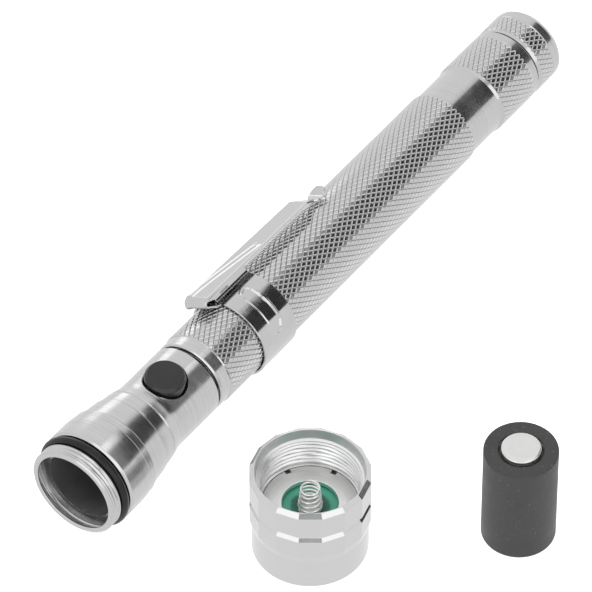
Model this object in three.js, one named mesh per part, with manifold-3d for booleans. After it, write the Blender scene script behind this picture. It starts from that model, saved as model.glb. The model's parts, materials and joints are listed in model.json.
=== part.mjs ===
// Telescopic magnetic pick-up tool with a lighted head, opened to change its batteries.
//
// Three things stand on one bench: the tool itself, lying on its flared head and its tail, the
// head cap, standing on its light end with its thread upwards, and the battery pack, standing on
// one end.
//
// Units are millimetres, +Z is up and the bench is z = 0. The tool's axis runs along Y, with the
// open head towards -Y and the tail towards +Y. Along the tool, places are distances from the
// head's front rim. On the standing pieces they are heights above the bench. Turned profiles are
// lists of [radius, place along the axis].

import * as THREE from 'three';
import { mergeVertices } from 'three/addons/utils/BufferGeometryUtils.js';
import Module from 'manifold-3d';

const wasm = await Module();
wasm.setup();

// ---- Driving dimensions: the tool ---------------------------------------------------------------

const BODY_LENGTH = 149.9; // front rim to the tail's end face
const HEAD_LENGTH = 35.7; // front rim to the head's rear face
const SEAM = 0.6; // open joint between the head and the barrel
const GRIP_R = 8.0; // knurled barrel and tail
const PLAIN_R = 7.75; // plain rear of the head, and the barrel's front collar
const FLARE_R = 10.2; // flare of the head, and its O-ring
const FLARE_END = 8.6; // where the flare starts to narrow
const THREAD_R = 9.45; // crest of the head's thread, which the cap screws onto
const RIM_BORE_R = 8.2; // mouth of the battery bore
const LINER_BORE_R = 7.7; // bore that holds the liner
const CLEAR = 0.3; // gap between pieces that touch

const BARREL_START = HEAD_LENGTH + SEAM;
const BARREL_END = 141.9;
const BARREL_BORE_R = 7.1;
const BAND_START = 119.5; // plain band near the barrel's rear
const BAND_END = 129.2;
const BAND_R = 7.65;
const TAIL_START = BARREL_END + CLEAR;

const BUTTON_AT = 27.8;
const BUTTON_R = 4.0;
const BUTTON_TURN = 6; // degrees from straight up, towards +X

// Telescoping stages: four steel tubes and the flexible neck, each inside the one before.
const TUBE_OUTER_R = [6.5, 5.65, 4.8, 3.95];
const TUBE_WALL = 0.4;
const TUBE_START = 37.1;
const TUBE_END = 118.5;
const STAGE_END = 122.0; // rear of the slide bushes
const LIP_LENGTH = 0.8; // rolled lip at each tube's front, which stops the next bush
const LIP_GAP = 0.15;
const BUSH_GAP = 0.12;
const NECK_R = 2.9;
const NECK_CORE_R = 1.9;
const NECK_HOLE_R = 3.2;
const NECK_START = 39.8;

// Pocket clip: a band round the barrel and a sprung arm over it.
const CLIP_TURN = 30; // degrees from straight up, towards -X
const CLIP_START = 49.1;
const CLIP_LENGTH = 10.0;
const CLIP_SHEET = 0.5;
const CLIP_BAND_R = 8.2;
const ARM_FRONT = 45.3;
const ARM_RISE = 11.4; // arm's outer face over the tool's axis, at its front
const ARM_KINK = 78.8;
const ARM_KINK_RISE = 10.95;
const ARM_FOOT = 82.2; // where the arm comes down to the barrel
const ARM_FOOT_RISE = 8.9;
const ARM_TIP = 85.7;
const ARM_TIP_RISE = 10.0;
const ARM_FRONT_WIDTH = 5.8;
const ARM_KINK_WIDTH = 4.8;
const ARM_DISC_R = 1.95;

// ---- Driving dimensions: the standing pieces ----------------------------------------------------

const CAP_HEIGHT = 20.5;
const CAP_SIDES = 16;
const CAP_CORNER_R = 11.52; // corners of the many-sided grip band
const CAP_BODY_R = 11.0;
const CAP_BAND_START = 7.2; // where the band swells out of the round body
const CAP_BAND_FULL = 9.1; // where it reaches its full size
const CAP_CHAMFER = 0.8;
const CAP_GROOVE = [13.1, 14.1, 14.8]; // lower edge, bottom and upper edge of the V round the band
const CAP_GROOVE_R = 10.85;
const CAP_THREAD_R = 9.3;
const CAP_MOUTH_R = 10.1; // smooth recess over the head's O-ring
const CAP_MOUTH_DEPTH = 2.4;
const CAP_PLATE_TOP = 11.7;
const CAP_AT = [37.8, 23.2]; // from the bench point under the front rim's centre
const CAP_TURN = 36; // degrees, which way one of its flats faces
const PLATE_NOTCHES = 6; // spanner notches in the plate inside the cap
const NOTCH_TURN = 26; // degrees from one of the band's corners

const LED_COUNT = 3;
const LED_R = 2.5;
const LED_CIRCLE_R = 5.5;
const BOARD_R = 8.4;
const BOARD_TOP = 10.4;
const BOARD_THICK = 1.1;

const PACK_R = 7.05;
const PACK_HEIGHT = 22.6;
const PACK_FLOOR = 1.3; // sleeve's foot under the first cell
const PACK_LIP = 0.5; // sleeve's lip over the last cell's shoulder
const PACK_HOLE_R = 4.25;
const PACK_AT = [67.4, 48.8];
const CELL_COUNT = 4;
const CELL_R = 5.8;
const CELL_CAN = 4.1;
const CELL_TERMINAL = 1.3;
const TERMINAL_R = 3.8;
const CELL_GAP = 0.1;

// ---- Roundness ----------------------------------------------------------------------------------

const ROUND = 32; // sides of a turned outer piece
const FINE = 24; // sides of a small or hidden turned piece

// ---- Finishes -----------------------------------------------------------------------------------

const ALUMINIUM = { color: 0xc9cacb, roughness: 0.28, metalness: 1.0 };
const STEEL = { color: 0xbfc0c2, roughness: 0.18, metalness: 1.0 };
const NICKEL = { color: 0xd2d0cb, roughness: 0.22, metalness: 1.0 };
const BRASS = { color: 0xc3a25a, roughness: 0.35, metalness: 1.0 };
const BLACK_RUBBER = { color: 0x121212, roughness: 0.55, metalness: 0.0 };
const BLACK_PLASTIC = { color: 0x1b1b1c, roughness: 0.6, metalness: 0.0 };
const WHITE_PLASTIC = { color: 0xe8e8e4, roughness: 0.4, metalness: 0.0 };
const BOARD_GREEN = { color: 0x11694f, roughness: 0.45, metalness: 0.0 };
const CLEAR_RESIN = { color: 0xf4f6f8, roughness: 0.08, metalness: 0.0 };

// ---- Shape helpers ------------------------------------------------------------------------------

const radians = THREE.MathUtils.degToRad;

// Merges shared corners and drops the empty triangles that a turned shape has on its axis.
function welded(geometry) {
  geometry.deleteAttribute('normal');
  geometry.deleteAttribute('uv');
  const merged = mergeVertices(geometry, 1e-4);
  const corners = merged.getIndex().array;
  const kept = [];
  for (let i = 0; i < corners.length; i += 3) {
    const [a, b, c] = corners.slice(i, i + 3);
    if (a !== b && b !== c && c !== a) {
      kept.push(a, b, c);
    }
  }
  merged.setIndex(kept);
  return merged;
}

// A solid of revolution about Y. A profile that doesn't start and end on the axis is a ring.
function turned(profile, sides = FINE) {
  const points = profile.map(([radius, along]) => new THREE.Vector2(radius, along));
  if (THREE.ShapeUtils.area(points) < 0) {
    points.reverse();
  }
  const solid = points[0].x === 0 && points[points.length - 1].x === 0;
  if (!solid) {
    points.push(points[0].clone());
  }
  return welded(new THREE.LatheGeometry(points, sides));
}

// A plain ring or disc between two radii and two places.
function ring(innerR, outerR, start, end, sides = FINE) {
  return turned([[innerR, start], [outerR, start], [outerR, end], [innerR, end]], sides);
}

// A block from its low corner to its high corner.
function block(low, high) {
  const size = high.map((value, i) => value - low[i]);
  const box = new THREE.BoxGeometry(...size);
  box.translate(...low.map((value, i) => value + size[i] / 2));
  return welded(box);
}

// An outline of [x, y] points made into a slab of the given thickness along Z, from z = start.
function slab(outline, start, thickness) {
  const shape = new THREE.Shape(outline.map(([x, y]) => new THREE.Vector2(x, y)));
  const geometry = new THREE.ExtrudeGeometry(shape, { depth: thickness, bevelEnabled: false });
  geometry.translate(0, 0, start);
  return welded(geometry);
}

function toSolid(geometry) {
  const vertProperties = new Float32Array(geometry.getAttribute('position').array);
  const triVerts = new Uint32Array(geometry.getIndex().array);
  return new wasm.Manifold(new wasm.Mesh({ numProp: 3, vertProperties, triVerts }));
}

function toGeometry(solid) {
  const { vertProperties, triVerts } = solid.getMesh();
  const geometry = new THREE.BufferGeometry();
  geometry.setAttribute('position', new THREE.BufferAttribute(vertProperties, 3));
  geometry.setIndex(new THREE.BufferAttribute(triVerts, 1));
  return geometry;
}

function cut(body, ...tools) {
  return toGeometry(tools.reduce((solid, tool) => solid.subtract(toSolid(tool)), toSolid(body)));
}

function joined(body, ...others) {
  return toGeometry(others.reduce((solid, other) => solid.add(toSolid(other)), toSolid(body)));
}

function common(a, b) {
  return toGeometry(toSolid(a).intersect(toSolid(b)));
}

function addPiece(group, name, geometry, finish) {
  const mesh = new THREE.Mesh(geometry, new THREE.MeshStandardMaterial(finish));
  mesh.name = name;
  group.add(mesh);
}

// ---- The head -----------------------------------------------------------------------------------

// Turns a shape made about Y so that its axis points out of the tool through the button's centre.
function alongButton(geometry) {
  geometry.rotateX(Math.PI / 2);
  geometry.rotateY(radians(BUTTON_TURN));
  geometry.translate(0, BUTTON_AT, 0);
  return geometry;
}

const O_RING_AT = 3.7;
const O_RING_SECTION_R = 0.9;
const GROOVE_HALF_WIDTH = 1.2;
const GROOVE_R = 8.3;
const LINER_START = 2.8;
const LINER_END = 20.0;
const CONTACT_BORE_R = 7.25;
const SWITCH_START = 23.4;
const SWITCH_END = 32.5;
const SWITCH_BORE_R = 6.9;
const HEAD_BACK_WALL = 33.6;
const HEAD_BEVEL = 0.35;

function headHousing() {
  const grooveStart = O_RING_AT - GROOVE_HALF_WIDTH;
  const grooveEnd = O_RING_AT + GROOVE_HALF_WIDTH;
  const outside = [
    [RIM_BORE_R, 0],
    [THREAD_R - HEAD_BEVEL, 0],
    [THREAD_R, HEAD_BEVEL],
    [THREAD_R, grooveStart],
    [GROOVE_R, grooveStart],
    [GROOVE_R, grooveEnd],
    [FLARE_R - HEAD_BEVEL, grooveEnd],
    [FLARE_R, grooveEnd + HEAD_BEVEL],
    [FLARE_R, FLARE_END],
    [9.9, 10.7],
    [9.5, 12.8],
    [9.25, 15.0],
    [8.75, 17.2],
    [8.45, 20.4],
    [8.0, 22.8],
    [PLAIN_R, 23.8],
    [PLAIN_R, HEAD_LENGTH - HEAD_BEVEL],
    [PLAIN_R - HEAD_BEVEL, HEAD_LENGTH],
  ];
  const inside = [
    [NECK_HOLE_R, HEAD_LENGTH],
    [NECK_HOLE_R, HEAD_BACK_WALL],
    [SWITCH_BORE_R, HEAD_BACK_WALL],
    [SWITCH_BORE_R, SWITCH_START - CLEAR],
    [CONTACT_BORE_R, SWITCH_START - CLEAR],
    [CONTACT_BORE_R, LINER_END + CLEAR],
    [LINER_BORE_R, LINER_END + CLEAR],
    [LINER_BORE_R, 1.4],
    [RIM_BORE_R, 1.4],
  ];
  const holeR = BUTTON_R + 0.2;
  const buttonHole = alongButton(turned([[0, 5], [holeR, 5], [holeR, 12], [0, 12]]));
  return cut(turned([...outside, ...inside], ROUND), buttonHole);
}

function oRing() {
  const centre = FLARE_R - O_RING_SECTION_R;
  const section = [];
  for (let i = 0; i < 8; i += 1) {
    const angle = (i / 8) * 2 * Math.PI;
    const radius = centre + O_RING_SECTION_R * Math.cos(angle);
    section.push([radius, O_RING_AT + O_RING_SECTION_R * Math.sin(angle)]);
  }
  return turned(section, ROUND);
}

function switchBody() {
  const pocketFloor = 2.4;
  const pocketR = BUTTON_R + 0.4;
  const pocket = alongButton(turned([[0, pocketFloor], [pocketR, pocketFloor], [pocketR, 12], [0, 12]]));
  const blank = turned([
    [0, SWITCH_START],
    [SWITCH_BORE_R - CLEAR, SWITCH_START],
    [SWITCH_BORE_R - CLEAR, SWITCH_END],
    [0, SWITCH_END],
  ]);
  return cut(blank, pocket);
}

function button() {
  const stemR = 1.6;
  return alongButton(turned([
    [0, 3.6],
    [stemR, 3.6],
    [stemR, 5.3],
    [BUTTON_R, 5.3],
    [BUTTON_R, 8.3],
    [BUTTON_R - 0.3, 8.75],
    [BUTTON_R - 0.9, 8.95],
    [0, 9.05],
  ]));
}

function addHead(tool) {
  addPiece(tool, 'head_housing', headHousing(), ALUMINIUM);
  addPiece(tool, 'o_ring', oRing(), BLACK_RUBBER);
  addPiece(tool, 'battery_liner', ring(LINER_BORE_R - 0.35, LINER_BORE_R - 0.1, LINER_START, LINER_END, ROUND),
    BLACK_PLASTIC);
  addPiece(tool, 'switch_body', switchBody(), BLACK_PLASTIC);
  addPiece(tool, 'rear_contact', turned([
    [0, SWITCH_START - 0.9],
    [1.6, SWITCH_START - 0.9],
    [3.2, SWITCH_START - 0.6],
    [3.2, SWITCH_START - CLEAR],
    [0, SWITCH_START - CLEAR],
  ]), BRASS);
  addPiece(tool, 'button', button(), BLACK_RUBBER);
}

// ---- The flexible neck and the telescoping tubes ------------------------------------------------

const STUD_GROOVE_R = 2.3;
const RETAINER_AT = 33.2;
const RETAINER_THICK = 0.3;

function neckStud() {
  const front = SWITCH_END + CLEAR;
  const flange = [HEAD_LENGTH + 0.1, HEAD_LENGTH + 0.6];
  return turned([
    [0, front],
    [NECK_R, front],
    [NECK_R, RETAINER_AT - 0.1],
    [STUD_GROOVE_R, RETAINER_AT - 0.1],
    [STUD_GROOVE_R, RETAINER_AT + RETAINER_THICK + 0.1],
    [NECK_R, RETAINER_AT + RETAINER_THICK + 0.1],
    [NECK_R, flange[0]],
    [NECK_R + 0.9, flange[0]],
    [NECK_R + 0.9, flange[1]],
    [NECK_R, flange[1]],
    [NECK_R, NECK_START - CLEAR],
    [NECK_CORE_R - CLEAR, NECK_START - CLEAR],
    [NECK_CORE_R - CLEAR, NECK_START + 4],
    [0, NECK_START + 4],
  ]);
}

// A snap ring: a washer with a gap, sprung into the stud's groove behind the head's back wall.
function neckRetainer() {
  const washer = ring(STUD_GROOVE_R + 0.1, 4.3, RETAINER_AT, RETAINER_AT + RETAINER_THICK);
  return cut(washer, block([-1.5, RETAINER_AT - 1, 0], [1.5, RETAINER_AT + 1, 6]));
}

function addNeck(tool) {
  addPiece(tool, 'neck_stud', neckStud(), STEEL);
  addPiece(tool, 'neck_retainer', neckRetainer(), STEEL);
  addPiece(tool, 'neck_coil', ring(NECK_CORE_R, NECK_R, NECK_START, TUBE_END), STEEL);
  addPiece(tool, 'neck_plug', turned([
    [0, TUBE_END - 6],
    [NECK_CORE_R - CLEAR, TUBE_END - 6],
    [NECK_CORE_R - CLEAR, TUBE_END + CLEAR],
    [TUBE_OUTER_R[3] - TUBE_WALL - BUSH_GAP, TUBE_END + CLEAR],
    [TUBE_OUTER_R[3] - TUBE_WALL - BUSH_GAP, STAGE_END],
    [0, STAGE_END],
  ]), BRASS);
}

function tube(outerR, nextR) {
  const boreR = outerR - TUBE_WALL;
  const lipR = nextR + LIP_GAP;
  return turned([
    [outerR, TUBE_START],
    [outerR, TUBE_END],
    [boreR, TUBE_END],
    [boreR, TUBE_START + LIP_LENGTH],
    [lipR, TUBE_START + LIP_LENGTH],
    [lipR, TUBE_START],
  ]);
}

function addTubes(tool) {
  TUBE_OUTER_R.forEach((outerR, i) => {
    const aroundR = i === 0 ? BARREL_BORE_R : TUBE_OUTER_R[i - 1] - TUBE_WALL;
    const nextR = i === TUBE_OUTER_R.length - 1 ? NECK_R : TUBE_OUTER_R[i + 1];
    addPiece(tool, `tube_${i + 1}`, tube(outerR, nextR), STEEL);
    addPiece(tool, `tube_${i + 1}_bush`,
      ring(outerR - TUBE_WALL, aroundR - BUSH_GAP, TUBE_END + CLEAR, STAGE_END), BRASS);
  });
}

// ---- The barrel and the tail --------------------------------------------------------------------

const COLLAR_END = 39.1;
const BEVEL = 0.25;
const PLUG_START = 128.0;
const STUD_R = 5.2;
const STUD_END = 146.0;
const TAIL_BORE_R = 5.5;
const TAIL_BORE_END = 146.6;
const MAGNET_SEAT = 147.2;
const MAGNET_R = 4.8;

function barrelTube() {
  return turned([
    [BARREL_BORE_R, BARREL_START],
    [PLAIN_R - BEVEL, BARREL_START],
    [PLAIN_R, BARREL_START + BEVEL],
    [PLAIN_R, COLLAR_END],
    [GRIP_R, COLLAR_END + BEVEL],
    [GRIP_R, BAND_START],
    [BAND_R, BAND_START + BEVEL],
    [BAND_R, BAND_END],
    [GRIP_R, BAND_END + BEVEL],
    [GRIP_R, BARREL_END - BEVEL],
    [GRIP_R - BEVEL, BARREL_END],
    [BARREL_BORE_R, BARREL_END],
  ], ROUND);
}

function rearPlug() {
  const plugR = BARREL_BORE_R - 0.1;
  return turned([
    [0, PLUG_START],
    [plugR, PLUG_START],
    [plugR, BARREL_END],
    [STUD_R, BARREL_END],
    [STUD_R, STUD_END],
    [0, STUD_END],
  ]);
}

function tailCap() {
  return turned([
    [0, TAIL_BORE_END],
    [TAIL_BORE_R, TAIL_BORE_END],
    [TAIL_BORE_R, TAIL_START],
    [GRIP_R - BEVEL, TAIL_START],
    [GRIP_R, TAIL_START + BEVEL],
    [GRIP_R, BODY_LENGTH - 1.1],
    [GRIP_R - 0.15, BODY_LENGTH - 0.5],
    [GRIP_R - 0.6, BODY_LENGTH],
    [MAGNET_R + CLEAR, BODY_LENGTH],
    [MAGNET_R + CLEAR, MAGNET_SEAT],
    [0, MAGNET_SEAT],
  ], ROUND);
}

function addBarrel(tool) {
  addPiece(tool, 'barrel_tube', barrelTube(), ALUMINIUM);
  addPiece(tool, 'front_bush', ring(TUBE_OUTER_R[0] + LIP_GAP, BARREL_BORE_R - 0.1, TUBE_START, TUBE_START + 4),
    BRASS);
  addPiece(tool, 'rear_plug', rearPlug(), ALUMINIUM);
  addPiece(tool, 'tail_cap', tailCap(), ALUMINIUM);
  addPiece(tool, 'tail_magnet', turned([
    [0, MAGNET_SEAT + 0.2],
    [MAGNET_R, MAGNET_SEAT + 0.2],
    [MAGNET_R, BODY_LENGTH - 0.05],
    [0, BODY_LENGTH - 0.05],
  ]), NICKEL);
}

// ---- The pocket clip ----------------------------------------------------------------------------
// Both pieces are made as if the clip stood straight up, and are then turned round the tool.

const CLIP_NECK_HALF_WIDTH = 1.5;

function clipBand() {
  const clipEnd = CLIP_START + CLIP_LENGTH;
  const neckTop = ARM_RISE - CLIP_SHEET - CLEAR;
  const neckInside = CLIP_NECK_HALF_WIDTH - CLIP_SHEET;
  const band = ring(CLIP_BAND_R, CLIP_BAND_R + CLIP_SHEET, CLIP_START, clipEnd, ROUND);
  const neck = block(
    [-CLIP_NECK_HALF_WIDTH, CLIP_START, CLIP_BAND_R + 0.2],
    [CLIP_NECK_HALF_WIDTH, clipEnd, neckTop],
  );
  const channel = block(
    [-neckInside, CLIP_START - 1, CLIP_BAND_R + CLIP_SHEET],
    [neckInside, clipEnd + 1, neckTop - CLIP_SHEET],
  );
  return cut(joined(band, neck), channel);
}

// The arm is one strip: its side view gives the bends and its plan view gives the width.
function clipArm() {
  const centreLine = [
    [CLIP_START - 0.8, 9.3],
    [ARM_FRONT + 1.0, 9.35],
    [ARM_FRONT + 0.3, 9.9],
    [ARM_FRONT + 0.3, ARM_RISE - 1.0],
    [ARM_FRONT + 1.2, ARM_RISE - 0.25],
    [ARM_KINK, ARM_KINK_RISE - 0.25],
    [ARM_FOOT, ARM_FOOT_RISE],
    [ARM_TIP, ARM_TIP_RISE],
  ];
  const side = stripOutline(centreLine, CLIP_SHEET).map(([along, rise]) => [-rise, along]);
  const strip = slab(side, -ARM_FRONT_WIDTH / 2, ARM_FRONT_WIDTH);
  strip.rotateY(Math.PI / 2);
  const halfFront = ARM_FRONT_WIDTH / 2;
  const halfKink = ARM_KINK_WIDTH / 2;
  const discAt = ARM_TIP - ARM_DISC_R;
  const half = [
    [halfFront - 0.8, ARM_FRONT - 0.2],
    [halfFront, ARM_FRONT + 0.8],
    [halfKink, ARM_KINK],
    [halfKink - 1.2, ARM_KINK + 2.0],
  ];
  for (let i = 0; i <= 6; i += 1) {
    const angle = radians(-50 + (i / 6) * 140);
    half.push([ARM_DISC_R * Math.cos(angle), discAt + ARM_DISC_R * Math.sin(angle)]);
  }
  const otherHalf = half.slice(0, -1).reverse().map(([x, y]) => [-x, y]);
  const plan = slab([...half, ...otherHalf], 0, 2 * ARM_RISE);
  return common(strip, plan);
}

// The outline of a strip of even thickness about an open line of points.
function stripOutline(line, thickness) {
  const sideOf = (sign) => line.map((point, i) => {
    const before = line[Math.max(i - 1, 0)];
    const after = line[Math.min(i + 1, line.length - 1)];
    const legs = [[before, point], [point, after]].filter(([a, b]) => a !== b);
    const normals = legs.map(([a, b]) => {
      const length = Math.hypot(b[0] - a[0], b[1] - a[1]);
      return [-(b[1] - a[1]) / length, (b[0] - a[0]) / length];
    });
    const sum = normals.reduce(([x, y], [nx, ny]) => [x + nx, y + ny], [0, 0]);
    const scale = sign * thickness / (sum[0] ** 2 + sum[1] ** 2) * normals.length / 2;
    return [point[0] + sum[0] * scale, point[1] + sum[1] * scale];
  });
  return [...sideOf(1), ...sideOf(-1).reverse()];
}

function addClip(tool) {
  const clip = new THREE.Group();
  clip.rotation.y = -radians(CLIP_TURN);
  addPiece(clip, 'clip_band', clipBand(), STEEL);
  addPiece(clip, 'clip_arm', clipArm(), STEEL);
  tool.add(clip);
}

// ---- The head cap -------------------------------------------------------------------------------

const CAP_LIP_R = 8.2; // window at the cap's light end
const CAP_LIP_THICK = 1.0;
const CAP_SEAT_R = 8.7;
const HOLDER_END = 4.6;

function capShell() {
  const [grooveStart, grooveBottom, grooveEnd] = CAP_GROOVE;
  const band = turned([
    [9.5, CAP_BAND_START],
    [CAP_BODY_R + 0.1, CAP_BAND_START],
    [CAP_CORNER_R, CAP_BAND_FULL],
    [CAP_CORNER_R, grooveStart],
    [CAP_GROOVE_R, grooveBottom],
    [CAP_CORNER_R, grooveEnd],
    [CAP_CORNER_R, CAP_HEIGHT - CAP_CHAMFER - 0.2],
    [CAP_CORNER_R - CAP_CHAMFER, CAP_HEIGHT],
    [9.5, CAP_HEIGHT],
  ], CAP_SIDES);
  const body = turned([
    [CAP_LIP_R, 0],
    [CAP_BODY_R - 0.5, 0],
    [CAP_BODY_R, 0.5],
    [CAP_BODY_R, CAP_BAND_START + 0.5],
    [10.2, CAP_BAND_START + 0.5],
    [10.2, CAP_HEIGHT - 1],
    [CAP_SEAT_R, CAP_HEIGHT - 1],
    [CAP_SEAT_R, CAP_LIP_THICK],
    [CAP_LIP_R, CAP_LIP_THICK],
  ], CAP_SIDES * 2);
  const bore = turned([
    [0, BOARD_TOP],
    [CAP_THREAD_R, BOARD_TOP],
    [CAP_THREAD_R, CAP_HEIGHT - CAP_MOUTH_DEPTH - 0.4],
    [CAP_MOUTH_R, CAP_HEIGHT - CAP_MOUTH_DEPTH],
    [CAP_MOUTH_R, CAP_HEIGHT + 1],
    [0, CAP_HEIGHT + 1],
  ], CAP_SIDES * 2);
  return cut(joined(band, body), bore);
}

function capPlate() {
  const disc = ring(5.3, CAP_THREAD_R - CLEAR, CAP_PLATE_TOP - 1, CAP_PLATE_TOP, ROUND);
  const notches = [];
  for (let i = 0; i < PLATE_NOTCHES; i += 1) {
    const notch = block([-0.6, CAP_PLATE_TOP - 2, 8.2], [0.6, CAP_PLATE_TOP + 1, 10]);
    notch.rotateY((i / PLATE_NOTCHES) * 2 * Math.PI + radians(NOTCH_TURN));
    notches.push(notch);
  }
  return cut(disc, ...notches);
}

// Places a shape made about the axis on the circle of lights.
function atLed(geometry, i) {
  geometry.translate(0, 0, LED_CIRCLE_R);
  geometry.rotateY((i / LED_COUNT) * 2 * Math.PI);
  return geometry;
}

function led() {
  const tip = 1.5;
  const dome = [[0, tip]];
  for (let i = 1; i <= 4; i += 1) {
    const angle = (i / 4) * (Math.PI / 2);
    dome.push([LED_R * Math.sin(angle), tip + LED_R * (1 - Math.cos(angle))]);
  }
  return turned([...dome, [LED_R, 7.9], [LED_R + 0.3, 7.9], [LED_R + 0.3, 8.9], [0, 8.9]], 16);
}

function ledHolder() {
  const disc = turned([
    [0, CAP_LIP_THICK + 0.2],
    [BOARD_R, CAP_LIP_THICK + 0.2],
    [BOARD_R, HOLDER_END],
    [0, HOLDER_END],
  ]);
  const holes = [];
  for (let i = 0; i < LED_COUNT; i += 1) {
    holes.push(atLed(turned([[0, 0], [LED_R + 0.1, 0], [LED_R + 0.1, 9], [0, 9]], 16), i));
  }
  const magnetHole = turned([[0, 0], [2.6, 0], [2.6, 9], [0, 9]], 16);
  return cut(disc, magnetHole, ...holes);
}

// The helix of the contact spring, closing in from its foot to its top.
class SpringLine extends THREE.Curve {
  getPoint(u) {
    const angle = u * SPRING_TURNS * 2 * Math.PI;
    const radius = THREE.MathUtils.lerp(SPRING_FOOT_R, SPRING_TOP_R, u);
    const height = THREE.MathUtils.lerp(SPRING_START, SPRING_END, u);
    return new THREE.Vector3(radius * Math.cos(angle), height, radius * Math.sin(angle));
  }
}

const SPRING_TURNS = 5.5;
const SPRING_FOOT_R = 2.15;
const SPRING_TOP_R = 1.55;
const SPRING_WIRE_R = 0.25;
const SPRING_START = BOARD_TOP + 0.5;
const SPRING_END = 15.7;

function contactSpring() {
  const section = new THREE.Shape();
  section.absarc(0, 0, SPRING_WIRE_R, 0, 2 * Math.PI);
  const steps = Math.round(SPRING_TURNS * 12);
  const options = { extrudePath: new SpringLine(), steps, curveSegments: 3, bevelEnabled: false };
  return welded(new THREE.ExtrudeGeometry(section, options));
}

function addCap(cap) {
  addPiece(cap, 'cap_shell', capShell(), ALUMINIUM);
  addPiece(cap, 'cap_plate', capPlate(), ALUMINIUM);
  addPiece(cap, 'led_board', turned([
    [0, BOARD_TOP - BOARD_THICK],
    [BOARD_R, BOARD_TOP - BOARD_THICK],
    [BOARD_R, BOARD_TOP],
    [0, BOARD_TOP],
  ]), BOARD_GREEN);
  addPiece(cap, 'contact_spring', contactSpring(), NICKEL);
  addPiece(cap, 'led_holder', ledHolder(), WHITE_PLASTIC);
  addPiece(cap, 'head_magnet', turned([[0, 1.1], [2.4, 1.1], [2.4, 8.9], [0, 8.9]]), NICKEL);
  for (let i = 0; i < LED_COUNT; i += 1) {
    addPiece(cap, `led_${i + 1}`, atLed(led(), i), CLEAR_RESIN);
  }
}

// ---- The battery pack ---------------------------------------------------------------------------

function addPack(pack) {
  const boreR = CELL_R + CLEAR / 2;
  addPiece(pack, 'battery_sleeve', turned([
    [PACK_HOLE_R, 0],
    [PACK_R - 0.3, 0],
    [PACK_R, 0.3],
    [PACK_R, PACK_HEIGHT - 0.3],
    [PACK_R - 0.3, PACK_HEIGHT],
    [PACK_HOLE_R, PACK_HEIGHT],
    [PACK_HOLE_R, PACK_HEIGHT - PACK_LIP],
    [boreR, PACK_HEIGHT - PACK_LIP],
    [boreR, PACK_FLOOR],
    [PACK_HOLE_R, PACK_FLOOR],
  ], ROUND), BLACK_RUBBER);
  for (let i = 0; i < CELL_COUNT; i += 1) {
    const foot = PACK_FLOOR + CELL_GAP + i * (CELL_CAN + CELL_TERMINAL + CELL_GAP);
    addPiece(pack, `cell_${i + 1}`, turned([
      [0, foot],
      [CELL_R, foot],
      [CELL_R, foot + CELL_CAN],
      [TERMINAL_R, foot + CELL_CAN],
      [TERMINAL_R, foot + CELL_CAN + CELL_TERMINAL],
      [0, foot + CELL_CAN + CELL_TERMINAL],
    ]), NICKEL);
  }
}

// ---- The bench ----------------------------------------------------------------------------------

// The tool touches the bench at its flare and its tail, so its axis slopes down to the thinner tail.
const SLOPE = Math.atan((FLARE_R - GRIP_R) / (BODY_LENGTH - 1.1 - FLARE_END));

const tool = new THREE.Group();
tool.rotation.x = -SLOPE;
tool.position.z = FLARE_R * Math.cos(SLOPE) + FLARE_END * Math.sin(SLOPE);
addHead(tool);
addNeck(tool);
addTubes(tool);
addBarrel(tool);
addClip(tool);

const cap = new THREE.Group();
cap.position.set(...CAP_AT, 0);
cap.rotation.set(Math.PI / 2, radians(CAP_TURN + 180 / CAP_SIDES), 0, 'ZXY');
addCap(cap);

const pack = new THREE.Group();
pack.position.set(...PACK_AT, 0);
pack.rotation.x = Math.PI / 2;
addPack(pack);

const opened = new THREE.Group();
opened.add(tool, cap, pack);

// The origin is on the bench, at the middle of the floor that everything covers.
const extent = new THREE.Box3().setFromObject(opened, true);
const middle = extent.getCenter(new THREE.Vector3());
opened.position.set(-middle.x, -middle.y, -extent.min.z);

export default opened;
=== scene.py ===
"""Telescopic magnetic pick-up tool, opened for its batteries, round its CAD frame.

Lengths are millimetres while a shape is made and become metres in its mesh. Each piece is made in
a place of its own: a rigid frame whose Y axis is the piece's turning axis. On the tool, places
along Y are distances from the head's front rim; on the standing pieces they are heights above the
bench. Angles go round Y from the place's Z axis, towards its X axis.
"""

import json
import math

import bmesh
import bpy
from mathutils import Matrix, Vector

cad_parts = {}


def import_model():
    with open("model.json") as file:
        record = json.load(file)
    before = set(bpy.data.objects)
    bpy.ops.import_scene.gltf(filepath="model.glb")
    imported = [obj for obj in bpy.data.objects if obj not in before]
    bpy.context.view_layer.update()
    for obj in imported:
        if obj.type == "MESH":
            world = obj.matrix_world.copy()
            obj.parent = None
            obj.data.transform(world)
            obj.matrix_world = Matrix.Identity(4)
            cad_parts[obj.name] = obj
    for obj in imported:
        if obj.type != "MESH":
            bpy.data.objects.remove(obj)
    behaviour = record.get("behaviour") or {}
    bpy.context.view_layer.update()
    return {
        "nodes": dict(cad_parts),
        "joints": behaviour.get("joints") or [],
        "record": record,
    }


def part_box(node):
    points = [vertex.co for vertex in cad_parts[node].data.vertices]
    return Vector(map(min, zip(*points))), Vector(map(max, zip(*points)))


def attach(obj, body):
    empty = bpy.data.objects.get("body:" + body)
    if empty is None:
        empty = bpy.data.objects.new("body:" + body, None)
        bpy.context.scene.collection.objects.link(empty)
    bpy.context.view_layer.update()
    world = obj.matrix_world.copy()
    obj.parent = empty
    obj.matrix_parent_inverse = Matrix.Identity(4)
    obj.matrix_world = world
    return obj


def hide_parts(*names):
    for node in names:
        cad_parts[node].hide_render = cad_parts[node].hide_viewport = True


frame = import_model()

MM = 0.001
JOINTS = {joint["name"]: joint for joint in frame["joints"]}
BODIES = {node: body for body, nodes in frame["record"]["behaviour"]["bodies"].items() for node in nodes}
FULL_TURN = 2 * math.pi


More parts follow.
